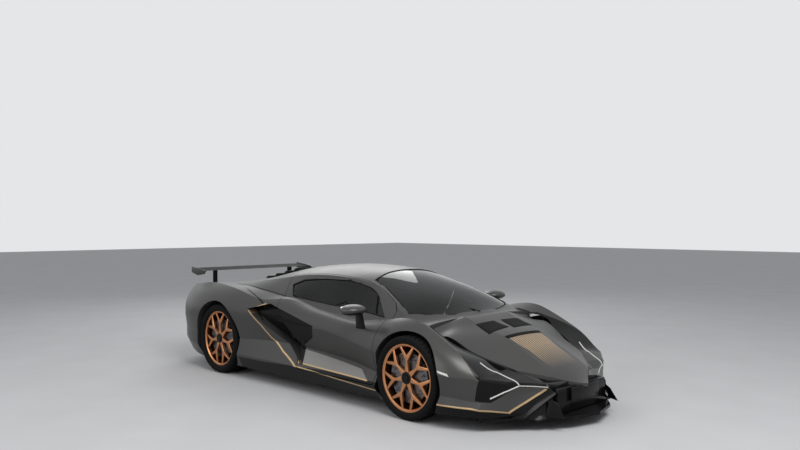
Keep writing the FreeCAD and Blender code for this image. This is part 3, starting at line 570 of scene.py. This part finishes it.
def skin(name, points, node_name, thickness, axis):
    """A thin cover with a flat outline, laid along one axis onto a CAD node."""
    piece = drawn(name, points, closed=True)
    bpy.ops.mesh.edge_face_add()
    bpy.ops.mesh.quads_convert_to_tris()
    bpy.ops.mesh.subdivide(number_cuts=5)
    bpy.ops.object.mode_set(mode="OBJECT")
    modify(piece, "SHRINKWRAP", wrap_method="PROJECT", target=NODES[node_name], use_project_y=axis == "y",
           use_project_z=axis == "z", use_positive_direction=True, use_negative_direction=True, offset=SKIN_LIFT)
    edit_all()
    bpy.ops.mesh.normals_make_consistent(inside=False)
    bpy.ops.object.mode_set(mode="OBJECT")
    modify(piece, "SOLIDIFY", thickness=thickness, offset=0)
    return piece


def bead(name, points, radius, nodes=(), steps=1, closed=False):
    """A round line through points, each laid on the nearest surface of CAD nodes."""
    route = [Vector(point) for point in points]
    if closed:
        route.append(route[0])
    path = [first.lerp(second, n / steps) for first, second in zip(route, route[1:]) for n in range(steps)]
    path.append(route[-1])
    for index, point in enumerate(path):
        found = [NODES[node_name].closest_point_on_mesh(point)[1] for node_name in nodes]
        if found:
            path[index] = min(found, key=lambda other: (other - point).length)
    hold()
    bpy.ops.curve.primitive_bezier_curve_add()
    curve = bpy.context.object
    curve.name = name
    curve.data.splines.clear()
    line = curve.data.splines.new("POLY")
    line.points.add(len(path) - 1)
    for knot, point in zip(line.points, path):
        knot.co = (*point, 1)
    curve.data.dimensions = "3D"
    curve.data.bevel_depth = radius
    curve.data.bevel_resolution = 1
    curve.data.use_fill_caps = True
    bpy.ops.object.convert(target="MESH")
    piece = bpy.context.object
    piece.name = name
    return piece


def turned(name, profile, centre, steps, closed=False):
    """A profile of (y, radius) points spun round a wheel's axle at (x, z)."""
    x, z = centre
    piece = drawn(name, [(x, y, z + radius) for y, radius in profile], closed)
    bpy.ops.mesh.spin(steps=steps, angle=2 * math.pi, center=(x, 0, z), axis=(0, 1, 0))
    bpy.ops.mesh.select_all(action="SELECT")
    bpy.ops.mesh.remove_doubles(threshold=SAME_PLACE)
    bpy.ops.object.mode_set(mode="OBJECT")
    return piece


def ringed(piece, centre, count):
    """Repeats the whole mesh round a wheel's axle."""
    hold(piece)
    edit_all()
    bpy.ops.mesh.spin(steps=count - 1, dupli=True, angle=2 * math.pi * (count - 1) / count,
                      center=(centre[0], 0, centre[1]), axis=(0, 1, 0))
    bpy.ops.object.mode_set(mode="OBJECT")


def hexagon(name, radius, depth, centre):
    """A six-sided block along the car."""
    hold()
    bpy.ops.mesh.primitive_cylinder_add(
        vertices=6, radius=radius, depth=depth, location=centre, rotation=(0, math.pi / 2, 0))
    return take(name)


def recess(piece, facing, rim, slope, depth):
    """Sinks the faces that look forward (1) or backward (-1) behind a rim. It ends in edit mode."""
    pick(piece, lambda centre, normal: normal.x * facing > LOOKS_ALONG)
    bpy.ops.mesh.inset(thickness=rim, depth=0)
    bpy.ops.mesh.inset(thickness=slope, depth=-depth)


def rounded(piece, width):
    """Rounds the sharp edges."""
    hold(piece)
    modify(piece, "BEVEL", width=width, segments=2, limit_method="ANGLE")


def finish(piece, mat, body, slot, bevel=0.0, angle=30, close=SAME_PLACE):
    """Rounds, cleans, paints and seats a piece on its body."""
    if bevel:
        rounded(piece, bevel)
    hold(piece)
    bpy.ops.object.transform_apply(location=True, rotation=True, scale=True)
    edit_all()
    if close:
        bpy.ops.mesh.remove_doubles(threshold=close)
    bpy.ops.mesh.normals_make_consistent(inside=False)
    bpy.ops.object.mode_set(mode="OBJECT")
    bpy.ops.object.shade_smooth_by_angle(angle=math.radians(angle))
    piece.data.materials.clear()
    piece.data.materials.append(mat)
    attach(piece, body)


def both(piece, mat, body, slot, bevel=0.0, **looks):
    """Finishes a piece of the right side and its mirror copy on the left. A body may be a pair."""
    stem = piece.name
    right, left = (body, body) if isinstance(body, str) else body
    hold(piece)
    bpy.ops.object.duplicate()
    twin = bpy.context.object
    twin.name = f"{stem}_left"
    twin.scale.y = -1
    finish(twin, mat, left, slot, bevel, **looks)
    piece.name = f"{stem}_right"
    finish(piece, mat, right, slot, bevel, **looks)


# Stage

LAMPS = (    # name, place, aim, width and power
    ("key_lamp", (5.0, -2.0, 6.5), (0.3, 0, 0.4), 4.0, 330),
    ("fill_lamp", (-1.0, -7.5, 4.0), (0, 0, 0.5), 5.0, 130),
    ("back_lamp", (-5.5, 4.0, 5.0), (0, 0, 0.6), 4.0, 120))


def lay_floor(colour):
    """A wide floor with faint clouds."""
    hold()
    bpy.ops.mesh.primitive_plane_add(size=80, location=(0, 0, 0))
    floor = bpy.context.object
    floor.name = "floor"
    mat, tree, shader = material("floor_paint")
    clouds = noise(tree, place(tree), 1.5, 4)
    tree.links.new(ramp(tree, clouds, [(0.3, shade(colour, 0.97)), (0.7, shade(colour, 1.03))]),
                   shader.inputs["Base Color"])
    shader.inputs["Roughness"].default_value = 0.75
    floor.data.materials.append(mat)


def studio_world():
    """Soft light from all round, and a plain backdrop for the camera, for glass and for reflections."""
    world = bpy.data.worlds.new("studio")
    world.use_nodes = True
    tree = world.node_tree
    light = tree.nodes["Background"]
    light.inputs["Color"].default_value = (0.9, 0.92, 0.95, 1)
    light.inputs["Strength"].default_value = 0.34
    backdrop = node(tree, "ShaderNodeBackground", Strength=1.0, Color=(0.78, 0.79, 0.8, 1))
    path = node(tree, "ShaderNodeLightPath")
    seen = path.outputs["Is Camera Ray"]
    for ray in ("Is Transmission Ray", "Is Glossy Ray"):
        seen = combined(tree, "MAXIMUM", seen, path.outputs[ray])
    mix = node(tree, "ShaderNodeMixShader")
    for source, target in zip((seen, light.outputs[0], backdrop.outputs[0]), mix.inputs):
        tree.links.new(source, target)
    tree.links.new(mix.outputs[0], tree.nodes["World Output"].inputs["Surface"])
    return world


# Wheels, modelled on the right and mirrored to the left

def measured_wheel(end):
    """Places and sizes of a wheel on the right, from its CAD nodes."""
    low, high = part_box(f"{end}_tyre_right")
    rim_low, rim_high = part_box(f"{end}_rim_right")
    disc_low, disc_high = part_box(f"{end}_disc_right")
    return SimpleNamespace(
        end=end, bodies=(f"wheel_{end}_right", f"wheel_{end}_left"),
        centre=((low.x + high.x) / 2, (low.z + high.z) / 2),
        middle=(low.y + high.y) / 2, half=(high.y - low.y) / 2,
        radius=(high.z - low.z) / 2, bore=(rim_high.z - rim_low.z) / 2,
        face=rim_low.y, back=rim_high.y, disc_face=disc_low.y, disc_back=disc_high.y)


def treaded_tyre(wheel, mat):
    """A tyre with side walls, ribs and cross grooves, in place of the CAD one."""
    end, centre, middle, half = wheel.end, wheel.centre, wheel.middle, wheel.half
    height = wheel.radius - wheel.bore
    groove_lean, groove_every = 0.12, 4
    profile = [(middle + half * share, wheel.bore + height * rise) for share, rise in TYRE_SHARES]
    profile += [(2 * middle - y, radius) for y, radius in reversed(profile)]
    tyre = turned(f"{end}_tread", profile, centre, TYRE_STEPS, closed=True)

    def grooved(face, normal):
        """Faces of the ribs that a cross groove takes."""
        offset = abs(face.y - middle) / half
        angle = math.atan2(face.z - centre[1], face.x - centre[0])
        step = int((angle + offset * groove_lean + 7) / (2 * math.pi / TYRE_STEPS))
        outward = (face.x - centre[0]) * normal.x + (face.z - centre[1]) * normal.z
        return step % groove_every == 0 and 0.1 < offset < 0.9 and outward > 0.9 * wheel.radius

    pick(tyre, grooved)
    bpy.ops.mesh.inset(thickness=0.0008, depth=-0.005)
    both(tyre, mat, wheel.bodies, "tyre_black", angle=35)
    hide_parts(f"{end}_tyre_right")
    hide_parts(f"{end}_tyre_left")


def forked_rim(wheel, mat):
    """A rim with seven forked spokes, in place of the CAD one."""
    end, (x, z), bore, face, back = wheel.end, wheel.centre, wheel.bore, wheel.face, wheel.back
    spoke = plate(f"{end}_spokes", along(face + 0.006, *[(x + u * bore, z + v * bore) for u, v in SPOKE_SHARES]),
                  (0, 0.024, 0))
    rounded(spoke, 0.005)
    ringed(spoke, wheel.centre, 7)
    section = [(face, bore), (face, bore - 0.010), (face + 0.010, bore - 0.020), (face + 0.05, bore - 0.024),
               (back - 0.01, bore - 0.03), (back, bore), (back - 0.004, bore), (back - 0.014, bore - 0.022),
               (face + 0.05, bore - 0.016), (face + 0.012, bore - 0.008), (face + 0.006, bore)]
    barrel = turned(f"{end}_barrel", section, wheel.centre, 96, closed=True)
    hold(barrel, spoke)
    bpy.ops.object.join()
    barrel.name = f"{end}_rim_dress"
    both(barrel, mat, wheel.bodies, "bronze", close=0)
    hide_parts(f"{end}_rim_right")
    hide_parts(f"{end}_rim_left")


def hub(wheel, mat):
    """A ring-shaped cap with a six-sided nut in it."""
    end, face = wheel.end, wheel.face
    cap = turned(f"{end}_hub_cap", [(face + 0.03, 0.05), (face + 0.004, 0.05), (face - 0.001, 0.046),
                                    (face - 0.001, 0.034), (face + 0.004, 0.031), (face + 0.004, 0.0)],
                 wheel.centre, 48)
    both(cap, mat, wheel.bodies, "gloss_black", 0.001)
    nut = turned(f"{end}_hub_nut", [(face + 0.006, 0.029), (face - 0.005, 0.026), (face - 0.005, 0.012),
                                    (face - 0.002, 0.010), (face - 0.002, 0.0)], wheel.centre, 6)
    both(nut, mat, wheel.bodies, "gloss_black", 0.001, angle=20)


def disc_holes(wheel, mat):
    """Rows of three holes round a brake disc, as thin dark discs of painted shade that stand for the dark inside
    of the holes.
    """
    x, z = wheel.centre
    hold()
    bpy.ops.mesh.primitive_cylinder_add(
        vertices=10, radius=0.006, depth=0.0012, location=(x, wheel.disc_face - 0.0004, z + 0.165),
        rotation=(math.pi / 2, 0, 0))
    holes = take(f"{wheel.end}_disc_holes")
    edit_all()
    for step in ((0.012, 0, 0.015), (0.0, 0, -0.03)):
        bpy.ops.mesh.duplicate_move(TRANSFORM_OT_translate={"value": step})
    ringed(holes, wheel.centre, 24)
    both(holes, mat, wheel.bodies, "dark_iron", close=0)


def calliper(wheel, mat):
    """A curved block behind the brake disc, on the part that the wheel turns on."""
    inner, outer = 0.125, 0.212
    x, z = wheel.centre
    arc = [(x + inner * math.cos(angle), z + inner * math.sin(angle)) for angle in CALLIPER_ANGLES]
    arc += [(x + outer * math.cos(angle), z + outer * math.sin(angle)) for angle in reversed(CALLIPER_ANGLES)]
    clamp = plate(f"{wheel.end}_calliper", along(wheel.disc_back + 0.004, *arc), (0, 0.05, 0))
    carriers = ("knuckle_front_right", "knuckle_front_left") if wheel.end == "front" else ("body", "body")
    both(clamp, mat, carriers, "dark_iron", 0.006)


# Padding

PAD_SHRINK = 0.012      # drawn in before the padding fills it
PAD_CELL = 0.012        # size of the mesh that the padding moves
PAD_PRESSURE = 4
PAD_FRAMES = 12
PAD_CAP = 0.022         # furthest that a point may move


def fill_pads(scene, pads):
    """Fills a closed form by pressure, as a sewn cover is filled."""
    rest = [vertex.co.copy() for vertex in pads.data.vertices]
    cloth = pads.modifiers.new("padding", "CLOTH")
    cloth.settings.use_pressure = True
    cloth.settings.uniform_pressure_force = PAD_PRESSURE
    cloth.settings.effector_weights.gravity = 0
    cloth.settings.quality = 3
    for number in range(1, PAD_FRAMES + 1):
        scene.frame_set(number)
    bpy.ops.object.modifier_apply(modifier="padding")
    scene.frame_set(1)
    for vertex, start in zip(pads.data.vertices, rest):
        moved = vertex.co - start
        if moved.length > PAD_CAP:
            vertex.co = start + moved.normalized() * PAD_CAP


# Operators

class SUPERCAR_OT_stage(bpy.types.Operator):
    """Adds the floor, the lamps, the world and the camera"""
    bl_idname = "supercar.stage"
    bl_label = "Stage"

    def execute(self, context):
        scene = context.scene
        stage = scene.supercar_stage
        scene.view_settings.view_transform = "Standard"
        lay_floor(stage.floor)
        scene.world = studio_world()
        for name, spot, aim, width, power in LAMPS:
            bpy.ops.object.light_add(type="AREA", location=spot)
            lamp = context.object
            lamp.name = name
            lamp.data.size = width
            lamp.data.energy = power
            lamp.rotation_euler = (Vector(aim) - Vector(spot)).to_track_quat("-Z", "Y").to_euler()
        bpy.ops.object.camera_add(location=stage.camera_place, rotation=(math.pi / 2, 0, math.pi / 4))
        camera = context.object
        camera.data.sensor_width = 36
        camera.data.lens = stage.lens
        scene.camera = camera
        return {"FINISHED"}


class SUPERCAR_OT_body(bpy.types.Operator):
    """Paints the body panels and the trim of the CAD nodes"""
    bl_idname = "supercar.body"
    bl_label = "Body paint"

    def execute(self, context):
        paints = context.scene.supercar_paint
        wheels = context.scene.supercar_wheels
        black, gold, pale_highlight = finishes(paints)
        lamps, blade, skirt = (LAMP_PLAN, LAMP_SIDE, black), (None, BLADE_UNDER, black), (None, SKIRT, black)
        # The wedge zone's lighter colour is partly painted highlight, where the upward-facing wedge catches the
        # light.
        wedge, sill_line = (OUTER_SKIN, WEDGE, pale_highlight), (SILL_EDGE, strokes(SILL_LINE, SILL_STROKE), gold)
        paint(satin_paint("front_grey", paints.grey, [
            lamps, blade, (MOUTH_PLAN, None, black), (None, strokes(BLADE_LINE, BLADE_STROKE), gold)]),
            "front_bumper")
        paint(satin_paint("fender_grey", paints.grey, [
            lamps, blade, skirt, (None, strokes(BLADE_LINE[:3], BLADE_STROKE), gold), sill_line]),
            "front_fenders")
        paint(satin_paint("door_grey", paints.grey, [
            skirt, wedge, (OUTER_SKIN, strokes(WEDGE_LINE, WEDGE_STROKE), gold), sill_line]),
            "door_left", "door_right")
        paint(satin_paint("quarter_grey", paints.grey, [
            skirt, wedge, (OUTER_SKIN, strokes(INTAKE_LINE, INTAKE_STROKE), gold),
            (SILL_EDGE, strokes(SILL_LINE[:2], SILL_STROKE), gold),
            (strokes(BUTTRESS_LINE, BUTTRESS_STROKE), None, black)]), "rear_quarters")
        paint(striped_bonnet("bonnet_grey", paints), "bonnet")
        grey = satin_paint("satin_grey", paints.grey)
        paint(grey, "roof_frame", "engine_cover", "door_frame_left", "door_frame_right", "rear_corners")
        paint(satin_paint("sill_black", paints.black, [sill_line], metallic=0.0, roughness=0.2), "side_sills")
        lacquer = gloss_black("gloss_black", paints.black)
        paint(lacquer, "side_intakes", "front_splitter", "rear_diffuser", "door_scoop_left", "door_scoop_right")
        dull = matte_black("dull_black", paints.black)
        paint(dull, "rear_wing", "chassis_tub", "rear_fascia", "dashboard", "steering_wheel", "engine_block")
        paint(tinted_glass("tinted_glass"), "windscreen", "door_glass_left", "door_glass_right")
        paint(leather("black_leather", (0.02, 0.02, 0.021)), "seats")
        soft = rubber("seal_rubber", (0.015, 0.015, 0.016))
        paint(soft, "door_seals", "bonnet_buffers", "cover_props")
        bronze = metal("bronze", wheels.bronze, 0.32)
        tyre = rubber("tyre_rubber", wheels.rubber)
        iron = metal("disc_iron", wheels.iron, 0.35)
        cast = metal("cast_metal", (0.2, 0.2, 0.21), 0.45)
        for end in ("front", "rear"):
            for side in ("left", "right"):
                paint(bronze, f"{end}_rim_{side}")
                paint(tyre, f"{end}_tyre_{side}")
                paint(iron, f"{end}_disc_{side}")
        paint(cast, "front_suspension", "rear_suspension", "front_knuckle_left", "front_knuckle_right")
        return {"FINISHED"}


class SUPERCAR_OT_nose(bpy.types.Operator):
    """Adds the lamp strips, the grille, the fins, the blank plate and the bonnet vents"""
    bl_idname = "supercar.nose"
    bl_label = "Nose details"

    def execute(self, context):
        paints = context.scene.supercar_paint
        black = gloss_black("nose_black", paints.black)
        dull = matte_black("nose_dull", paints.black)
        strip = lamp_white("lamp_strip")
        for part, radius, points in (
                ("upper", 0.006, [(1.876, -0.702, 0.483), (2.02, -0.643, 0.411), (2.159, -0.595, 0.342)]),
                ("lower", 0.006, [(2.16, -0.596, 0.335), (2.112, -0.704, 0.3), (2.042, -0.792, 0.252)]),
                ("inner", 0.004, [(2.16, -0.596, 0.335), (2.212, -0.466, 0.32), (2.261, -0.368, 0.305)])):
            line = bead(f"lamp_line_{part}", points, radius, ("front_bumper", "front_fenders"), steps=6)
            both(line, strip, "body", "satin_grey")
        surround = plate("grille_surround", across(
            2.299, (-0.36, 0.105), (0.36, 0.105), (0.335, 0.295), (-0.335, 0.295)), (0.035, 0, 0))
        recess(surround, 1, 0.014, 0.004, 0.028)
        finish(surround, black, "body", "gloss_black", 0.002)
        bars = []
        for n in range(13):
            y = -0.33 + n * 0.055
            for foot, head, depth in ((0.112, 0.288, 0.012), (0.288, 0.112, 0.010)):
                bars.append(plate("grille_bar", across(
                    2.306, (y - 0.004, foot), (y + 0.004, foot), (y + 0.034, head), (y + 0.026, head)),
                    (depth, 0, 0)))
        hold(*bars)
        bpy.ops.object.join()
        bars[0].name = "grille_mesh"
        finish(bars[0], dull, "body", "gloss_black", close=0)
        bracket = plate("plate_bracket", across(
            2.32, (-0.12, 0.23), (-0.09, 0.23), (-0.09, 0.255), (-0.12, 0.255)), (0.036, 0, 0))
        both(bracket, dull, "body", "gloss_black", 0.002)
        blank = plate("blank_plate", across(
            2.355, (-0.2, 0.18), (0.2, 0.18), (0.2, 0.29), (-0.2, 0.29)), (0.008, 0, 0))
        recess(blank, 1, 0.006, 0.002, 0.002)
        finish(blank, gloss_black("plate_black", (0.01, 0.01, 0.011)), "body", "gloss_black", 0.002)
        fin = plate("nose_fin", [(2.13, -0.655, 0.10), (2.21, -0.60, 0.10), (2.33, -0.36, 0.27),
                                 (2.262, -0.355, 0.30)], (0.0, 0.006, -0.006))
        both(fin, black, "body", "gloss_black", 0.002)
        vane = plate("lip_vane", [(2.30, -0.46, 0.102), (2.42, -0.40, 0.102), (2.36, -0.385, 0.20),
                                  (2.30, -0.40, 0.23)], (0, 0.007, 0))
        both(vane, black, "body", "gloss_black", 0.002)
        marker = skin("side_marker", along(-1.1, (1.69, 0.446), (1.70, 0.43), (1.80, 0.405), (1.785, 0.425)),
                      "front_fenders", 0.004, "y")
        both(marker, lamp_white("marker_white"), "body", "satin_grey")
        slot = skin("bonnet_slot", level(0.8, (1.757, -0.235), (1.79, -0.235), (1.79, 0.235), (1.757, 0.235)),
                    "bonnet", 0.008, "z")
        finish(slot, dull, "bonnet", "gloss_black", 0.002)
        for name, y in (("bonnet_vent_right", -0.17), ("bonnet_vent_left", 0.17)):
            vent = skin(name, level(0.9, (1.50, y - 0.12), (1.665, y - 0.15), (1.64, y + 0.15), (1.50, y + 0.12)),
                        "bonnet", 0.006, "z")
            finish(vent, dull, "bonnet", "gloss_black", 0.002)
        return {"FINISHED"}


class SUPERCAR_OT_sides(bpy.types.Operator):
    """Adds the mirrors, the window trims and the intake blades"""
    bl_idname = "supercar.sides"
    bl_label = "Side details"

    def execute(self, context):
        paints = context.scene.supercar_paint
        black = gloss_black("side_black", paints.black)
        doors = ("door_right", "door_left")
        hold()
        centre = (0.72, -0.968, 0.813)
        bpy.ops.mesh.primitive_uv_sphere_add(
            segments=32, ring_count=16, radius=1, location=centre, scale=(0.105, 0.125, 0.047))
        head = take("mirror_head")
        edit_all()
        bpy.ops.mesh.bisect(plane_co=(0.665, *centre[1:]), plane_no=(1, 0.25, 0), use_fill=True, clear_inner=True)
        recess(head, -1, 0.006, 0.002, 0.006)
        grey = satin_paint("mirror_grey", paints.grey, [(None, MIRROR_UNDERSIDE, finishes(paints)[0])])
        both(head, grey, doors, "satin_grey", angle=40)
        glass = plate("mirror_glass", [(0.6655, -1.058, 0.788), (0.643, -0.968, 0.776), (0.6205, -0.878, 0.788),
                                       (0.6205, -0.878, 0.838), (0.643, -0.968, 0.85), (0.6655, -1.058, 0.838)],
                      (0.012, 0.003, 0))
        both(glass, metal("mirror_silver", (0.7, 0.72, 0.74), 0.08), doors, "gloss_black", 0.001)
        stalk = plate("mirror_stalk", [(0.66, -0.862, 0.64), (0.77, -0.862, 0.64), (0.775, -0.905, 0.79),
                                       (0.70, -0.905, 0.79)], (0, -0.022, 0.006))
        both(stalk, black, doors, "gloss_black", 0.006)
        trim_black = rubber("trim_black", (0.006, 0.006, 0.006))
        for side, outward in (("right", -0.004), ("left", 0.004)):
            points = pane_edge(f"door_glass_{side}", 2, 0.025, (0, outward, 0))
            edge = bead(f"window_trim_{side}", points, 0.007, closed=True)
            finish(edge, trim_black, f"door_{side}", "gloss_black")
        divider = bead("window_divider", [(0.62, -0.575, 0.90), (0.68, -0.66, 0.815), (0.74, -0.73, 0.735)],
                       0.009, ("door_glass_right",), steps=5)
        both(divider, trim_black, doors, "gloss_black")
        for n, (x, z, low) in enumerate(((-0.52, 0.70, 0.56), (-0.36, 0.66, 0.46), (-0.2, 0.61, 0.38))):
            blade = plate(f"intake_blade_{n + 1}", along(
                -0.80, (x, z), (x + 0.10, z - 0.03), (x + 0.12, low), (x + 0.05, low - 0.02)), (0.012, -0.045, 0))
            both(blade, black, "body", "gloss_black", 0.003)
        return {"FINISHED"}


class SUPERCAR_OT_glass(bpy.types.Operator):
    """Adds the windscreen trim and the wiper"""
    bl_idname = "supercar.glass"
    bl_label = "Windscreen details"

    def execute(self, context):
        paints = context.scene.supercar_paint
        black = gloss_black("screen_black", paints.black, 0.1)
        edge = bead("screen_trim", pane_edge("windscreen", 1, 0.03, (0, 0, 0.003)), 0.008, closed=True)
        finish(edge, rubber("screen_rubber", (0.006, 0.006, 0.006)), "body", "gloss_black")
        arm = bead("wiper_arm", [(1.30, 0.02, 0.775), (1.18, -0.10, 0.815), (1.10, -0.22, 0.838)], 0.006)
        finish(arm, black, "body", "gloss_black")
        blade = bead("wiper_blade", [(1.262, -0.42, 0.771), (1.19, -0.3, 0.808), (1.10, -0.16, 0.846),
                                     (0.99, 0.0, 0.893)], 0.007, ("windscreen",), steps=6)
        finish(blade, black, "body", "gloss_black")
        return {"FINISHED"}


class SUPERCAR_OT_wheels(bpy.types.Operator):
    """Replaces the tyres and rims, and adds hubs, callipers and dark discs of painted shade for the holes of the
    brake discs
    """
    bl_idname = "supercar.wheels"
    bl_label = "Wheels"

    def execute(self, context):
        wheels = context.scene.supercar_wheels
        tread = rubber("tread_rubber", wheels.rubber)
        cap = gloss_black("hub_black", (0.01, 0.01, 0.011))
        # Painted shade: near-black for the dark inside of the drilled holes of the discs.
        hole_shade = matte_black("painted_hole_shade", (0.01, 0.01, 0.01))
        cast = metal("calliper_paint", (0.05, 0.05, 0.052), 0.4)
        for end in ("front", "rear"):
            wheel = measured_wheel(end)
            treaded_tyre(wheel, tread)
            forked_rim(wheel, metal(f"{end}_bronze", wheels.bronze, 0.28))
            hub(wheel, cap)
            disc_holes(wheel, hole_shade)
            calliper(wheel, cast)
        return {"FINISHED"}


class SUPERCAR_OT_rear(bpy.types.Operator):
    """Adds the tail lamps, the pipes, the louvres, the wing ends and the diffuser vanes"""
    bl_idname = "supercar.rear"
    bl_label = "Rear details"

    def execute(self, context):
        paints = context.scene.supercar_paint
        black = gloss_black("rear_black", paints.black)
        red = lamp_red("lamp_red")
        for n, y in enumerate((-0.33, -0.45, -0.57)):
            lamp = hexagon(f"tail_lamp_{n + 1}", 0.052, 0.024, (-2.358, y, 0.715))
            recess(lamp, -1, 0.008, 0.003, 0.008)
            both(lamp, black, "body", "gloss_black", 0.002)
            lens = hexagon(f"tail_lens_{n + 1}", 0.040, 0.01, (-2.366, y, 0.715))
            pick(lens, lambda centre, normal: normal.x < -LOOKS_ALONG)
            bpy.ops.mesh.inset(thickness=0.012, depth=0.003)
            both(lens, red, "body", "satin_grey", 0.002)
        pipe = hexagon("exhaust_pipe", 0.068, 0.14, (-2.39, -0.085, 0.52))
        recess(pipe, -1, 0.006, 0.001, 0.12)
        both(pipe, metal("pipe_steel", (0.12, 0.12, 0.125), 0.3), "body", "gloss_black", 0.002)
        for n in range(4):
            x = -0.9 - n * 0.17
            top = 1.069 - n * 0.0355
            louvre = plate(f"cover_louvre_{n + 1}", [
                (x, -0.34, top - 0.02), (x - 0.13, -0.27, top - 0.05), (x - 0.13, 0.27, top - 0.05),
                (x, 0.34, top - 0.02)], (-0.012, 0, 0.026))
            finish(louvre, black, "engine_cover", "gloss_black", 0.004)
        end_fin = plate("wing_end_fin", along(-0.745, (-2.33, 0.985), (-2.20, 0.955), (-2.06, 0.975),
                                              (-2.02, 1.012), (-2.16, 1.035), (-2.33, 1.052)), (0, -0.012, 0))
        both(end_fin, satin_paint("wing_grey", paints.grey), "body", "satin_grey", 0.003)
        for n, y in enumerate((-0.45, -0.225, 0.0, 0.225, 0.45)):
            vane = plate(f"diffuser_vane_{n + 1}", along(
                y, (-1.98, 0.235), (-2.475, 0.305), (-2.475, 0.175), (-2.30, 0.11), (-2.02, 0.125)), (0, 0.008, 0))
            finish(vane, black, "body", "gloss_black", 0.002)
        return {"FINISHED"}


class SUPERCAR_OT_cabin(bpy.types.Operator):
    """Replaces the seats with padded leather ones and adds the screens of the dashboard"""
    bl_idname = "supercar.cabin"
    bl_label = "Cabin"

    def execute(self, context):
        hide = leather("seat_leather", (0.022, 0.021, 0.021))
        hold(NODES["seats"])
        bpy.ops.object.duplicate()
        pads = context.object
        pads.name = "seat_pads"
        hold(pads)
        edit_all()
        bpy.ops.mesh.remove_doubles(threshold=0.0001)
        bpy.ops.mesh.normals_make_consistent(inside=False)
        bpy.ops.transform.shrink_fatten(value=-PAD_SHRINK)
        bpy.ops.object.mode_set(mode="OBJECT")
        pads.data.remesh_voxel_size = PAD_CELL
        bpy.ops.object.voxel_remesh()
        fill_pads(context.scene, pads)
        modify(pads, "SUBSURF", levels=1, render_levels=1)
        finish(pads, hide, "body", "black_leather", angle=60, close=0)
        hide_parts("seats")
        screen = gloss_black("screen_panel", (0.008, 0.009, 0.011), 0.05)
        middle = plate("centre_screen", [(0.782, -0.11, 0.55), (0.782, 0.11, 0.55), (0.786, 0.10, 0.63),
                                         (0.786, -0.10, 0.63)], (-0.012, 0, 0.002))
        finish(middle, screen, "body", "gloss_black", 0.003)
        dials = plate("dial_screen", [(0.93, 0.20, 0.642), (0.93, 0.50, 0.642), (0.95, 0.48, 0.70),
                                      (0.95, 0.22, 0.70)], (0.02, 0, 0))
        finish(dials, screen, "body", "gloss_black", 0.004)
        return {"FINISHED"}


class SUPERCAR_PT_panel(bpy.types.Panel):
    """Lists the operators and their settings"""
    bl_idname = "SUPERCAR_PT_panel"
    bl_label = "Supercar"
    bl_space_type = "VIEW_3D"
    bl_region_type = "UI"
    bl_category = "Supercar"

    def draw(self, context):
        for operator in OPERATORS:
            self.layout.operator(operator.bl_idname)
        for name in SETTINGS:
            group = getattr(context.scene, name)
            for key in group.bl_rna.properties.keys()[2:]:
                self.layout.prop(group, key)


OPERATORS = (SUPERCAR_OT_stage, SUPERCAR_OT_body, SUPERCAR_OT_wheels, SUPERCAR_OT_nose, SUPERCAR_OT_sides,
             SUPERCAR_OT_glass, SUPERCAR_OT_rear, SUPERCAR_OT_cabin)
SETTINGS = {"supercar_paint": PaintSettings, "supercar_wheels": WheelSettings, "supercar_stage": StageSettings}


def register():
    """Adds the settings, the operators and the panel."""
    for group in SETTINGS.values():
        bpy.utils.register_class(group)
    for operator in OPERATORS:
        bpy.utils.register_class(operator)
    bpy.utils.register_class(SUPERCAR_PT_panel)
    for name, group in SETTINGS.items():
        setattr(bpy.types.Scene, name, bpy.props.PointerProperty(type=group))


def unregister():
    """Takes them away again."""
    for name in SETTINGS:
        delattr(bpy.types.Scene, name)
    bpy.utils.unregister_class(SUPERCAR_PT_panel)
    for operator in reversed(OPERATORS):
        bpy.utils.unregister_class(operator)
    for group in reversed(SETTINGS.values()):
        bpy.utils.unregister_class(group)


def main():
    """Dresses the whole car."""
    register()
    bpy.ops.supercar.stage()
    bpy.ops.supercar.body()
    bpy.ops.supercar.wheels()
    bpy.ops.supercar.nose()
    bpy.ops.supercar.sides()
    bpy.ops.supercar.glass()
    bpy.ops.supercar.rear()
    bpy.ops.supercar.cabin()


if __name__ == "__main__":
    main()
